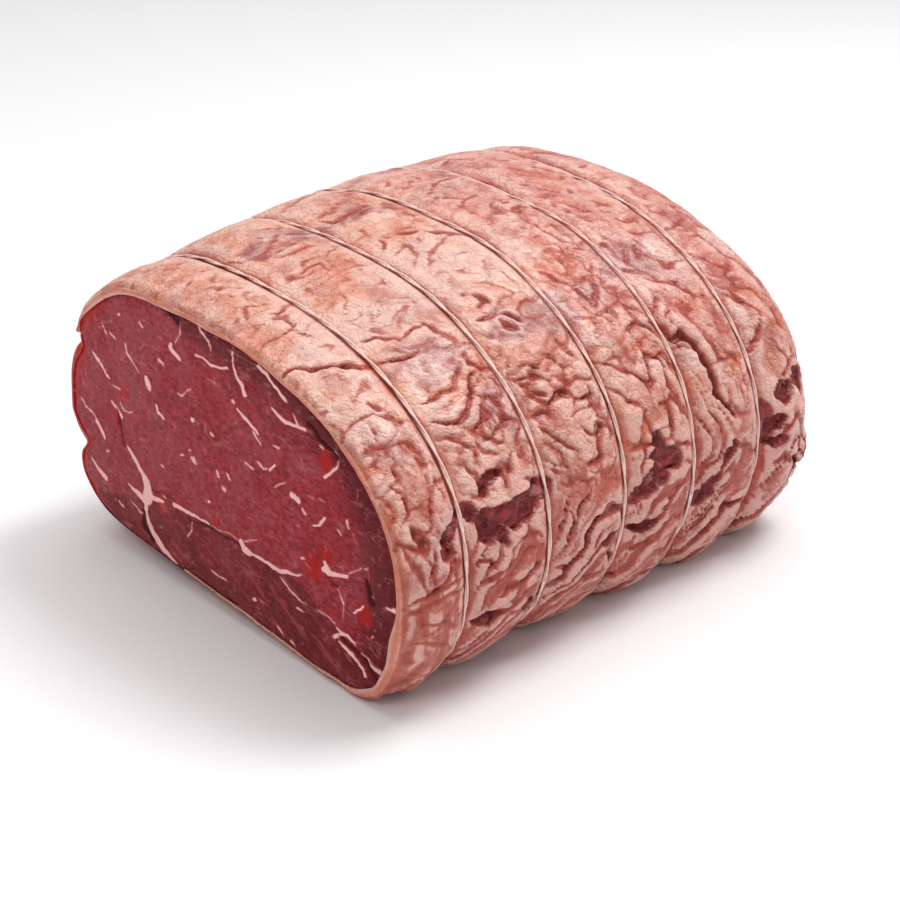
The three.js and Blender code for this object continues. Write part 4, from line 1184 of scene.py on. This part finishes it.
# the fibres of the lower strip slope down to the right, so this mapping turns before it stretches
slope = {"Vector": M.place, "Scale": (1, 5, 1), "Rotation": (0.51, 0, 0)}
fibres = M.noise(420, 4, 0.6, place=M.node("Mapping", {"vector_type": "TEXTURE"}, slope))
wet_red = (M.mark("red") + 1.2 * (threads - 0.5)).between(0.25, 0.8)
juicy = (M.mark("bevel") + 0.9 * (cloud - 0.5)).between(0.15, 0.9)
# thin skin lies over the muscles of the bare flank, in streaks along the joint
skin_streaks = M.noise(170, 5, 0.65, 0.6, place=M.stretch(0.22, 1, 1))
thin_skin = (skin_streaks + 0.5 * (cloud - 0.5)).between(0.5, 0.68) * M.mark("flank")
seam = M.mark("seam") + 0.5 * (dots - 0.5)

# %% Lean: its colours, one over the other
red_meat = M.blend((0.22, 0.016, 0.025), (0.46, 0.056, 0.070), weave.between(0.36, 0.64))
M.feed(Base_Color=M.layers(red_meat, [
    ((0.34, 0.070, 0.088), cloud.between(0.42, 0.72) * 0.5),
    ((0.30, 0.010, 0.012), cloud.between(0.52, 0.35) * 0.35),
    # darker muscles, and painted shade on the lower strip and the right of the cut
    ((0.060, 0.004, 0.006), M.mark("tone").between(0.0, 1.1) * 0.72),
    ((0.44, 0.008, 0.006), wet_red * 0.8),
    ((0.52, 0.16, 0.16), threads.between(0.56, 0.66) * 0.4),
    ((0.66, 0.20, 0.20), dashes * 0.55),
    ((0.42, 0.075, 0.085), fibres.between(0.52, 0.68) * M.mark("strip") * 0.7),
    ((0.62, 0.24, 0.22), dots.between(0.60, 0.70) * 0.35),
    ((0.06, 0.005, 0.007), dots.between(0.42, 0.32) * 0.3),
    ((0.50, 0.016, 0.014), juicy * 0.8),
    ((0.56, 0.21, 0.20), thin_skin * 0.6),
    ((0.12, 0.008, 0.012), skin_streaks.between(0.46, 0.34) * M.mark("flank") * 0.6),
    ((0.50, 0.10, 0.09), seam.between(0.08, 0.35) * 0.6),
    ((1.0, 0.56, 0.53), seam.between(0.4, 0.8) * 0.97),
    # painted shade, near black, in the clefts
    ((0.03, 0.003, 0.003), M.mark("dark").between(0.1, 0.9) * 0.85),
]))
M.feed(Roughness=0.32 + 0.25 * weave - 0.12 * M.mark("red"))
M.feed(Normal=M.bump(weave + 0.7 * dots + 0.5 * threads, 0.7, 0.0006))
M.dress(lean)

# %% [markdown]
# ## The finish of the string
# The string is cotton that has taken up a little juice: matt, and pink where it is wet. The
# two yarns are real shapes, so the finish has only to add the fine fibres.

# %% String
T = Finish("string_finish", Specular_IOR_Level=0.4, Sheen_Weight=0.1)
fibre = T.noise(1500, 4, 0.7, place=T.stretch(1, 0.4, 0.4))
T.feed(Base_Color=T.blend((0.78, 0.47, 0.41), (0.97, 0.74, 0.67), fibre.between(0.3, 0.7)))
T.feed(Roughness=0.5 + 0.2 * fibre, Normal=T.bump(fibre, 0.5, 0.0002))
T.dress(*ties)

# %% [markdown]
# ## Floor, light and camera
# The floor is a plain pale sheet. The photo was taken in soft light from all round, so there
# are no hard shadows: a large soft light hangs above and to the right, a smaller one at the
# left lights the cut, a wide sun stands for the ceiling, and a pale surround fills the
# shadows. The camera stands where the photograph was taken from, which is worked out above.

# %% Floor
FLOOR_HALF = 4
floor_mesh = bpy.data.meshes.new("floor")
corners = [(x * FLOOR_HALF, y * FLOOR_HALF, 0) for x, y in ((-1, -1), (1, -1), (1, 1), (-1, 1))]
floor_mesh.from_pydata(corners, [], [(0, 1, 2, 3)])
floor = bpy.data.objects.new("floor", floor_mesh)
bpy.context.scene.collection.objects.link(floor)
floor_finish = Finish("floor_finish", Base_Color=(0.86, 0.86, 0.865, 1), Roughness=0.6,
                      Specular_IOR_Level=0.2)
floor_finish.dress(floor)


# %% Lights
def soft_light(name, place, size, power):
    """A square light that faces the middle of the joint."""
    light = bpy.data.lights.new(name, "AREA")
    light.shape, light.size, light.energy = "SQUARE", size, power
    lamp = bpy.data.objects.new(name, light)
    lamp.location = place
    lamp.rotation_euler = (Vector((0, 0, 0.05)) - Vector(place)).to_track_quat("-Z", "Y").to_euler()
    bpy.context.scene.collection.objects.link(lamp)
    print(name, "gives", power, "watts from", place)


soft_light("window", (0.7, -0.25, 1.4), 0.6, 13)
soft_light("lamp", (-0.9, -0.55, 1.2), 0.3, 3.3)
sun = bpy.data.lights.new("overhead", "SUN")
sun.energy, sun.angle = 1.0, math.radians(60)
overhead = bpy.data.objects.new("overhead", sun)
overhead.rotation_euler = (math.radians(-12), math.radians(10), 0)
bpy.context.scene.collection.objects.link(overhead)
world = bpy.data.worlds.new("surround")
world.use_nodes = True
world.node_tree.nodes["Background"].inputs["Color"].default_value = (1.0, 1.0, 1.0, 1)
world.node_tree.nodes["Background"].inputs["Strength"].default_value = 0.5
bpy.context.scene.world = world
bpy.context.scene.view_settings.view_transform = "Standard"

# %% Camera
camera_data = bpy.data.cameras.new("camera")
camera_data.sensor_width, camera_data.lens = 36, 36 * FOCAL_PX / PHOTO_PX
camera = bpy.data.objects.new("camera", camera_data)
bpy.context.scene.collection.objects.link(camera)
stand = Vector(((STAND + SHIFT) / 1000).tolist())
turned = Matrix([right.tolist(), upward.tolist(), back.tolist()]).transposed().to_4x4()
camera.matrix_world = Matrix.Translation(stand) @ turned
bpy.context.scene.camera = camera
print("camera at", [round(v, 4) for v in stand], "lens", round(camera_data.lens, 2))
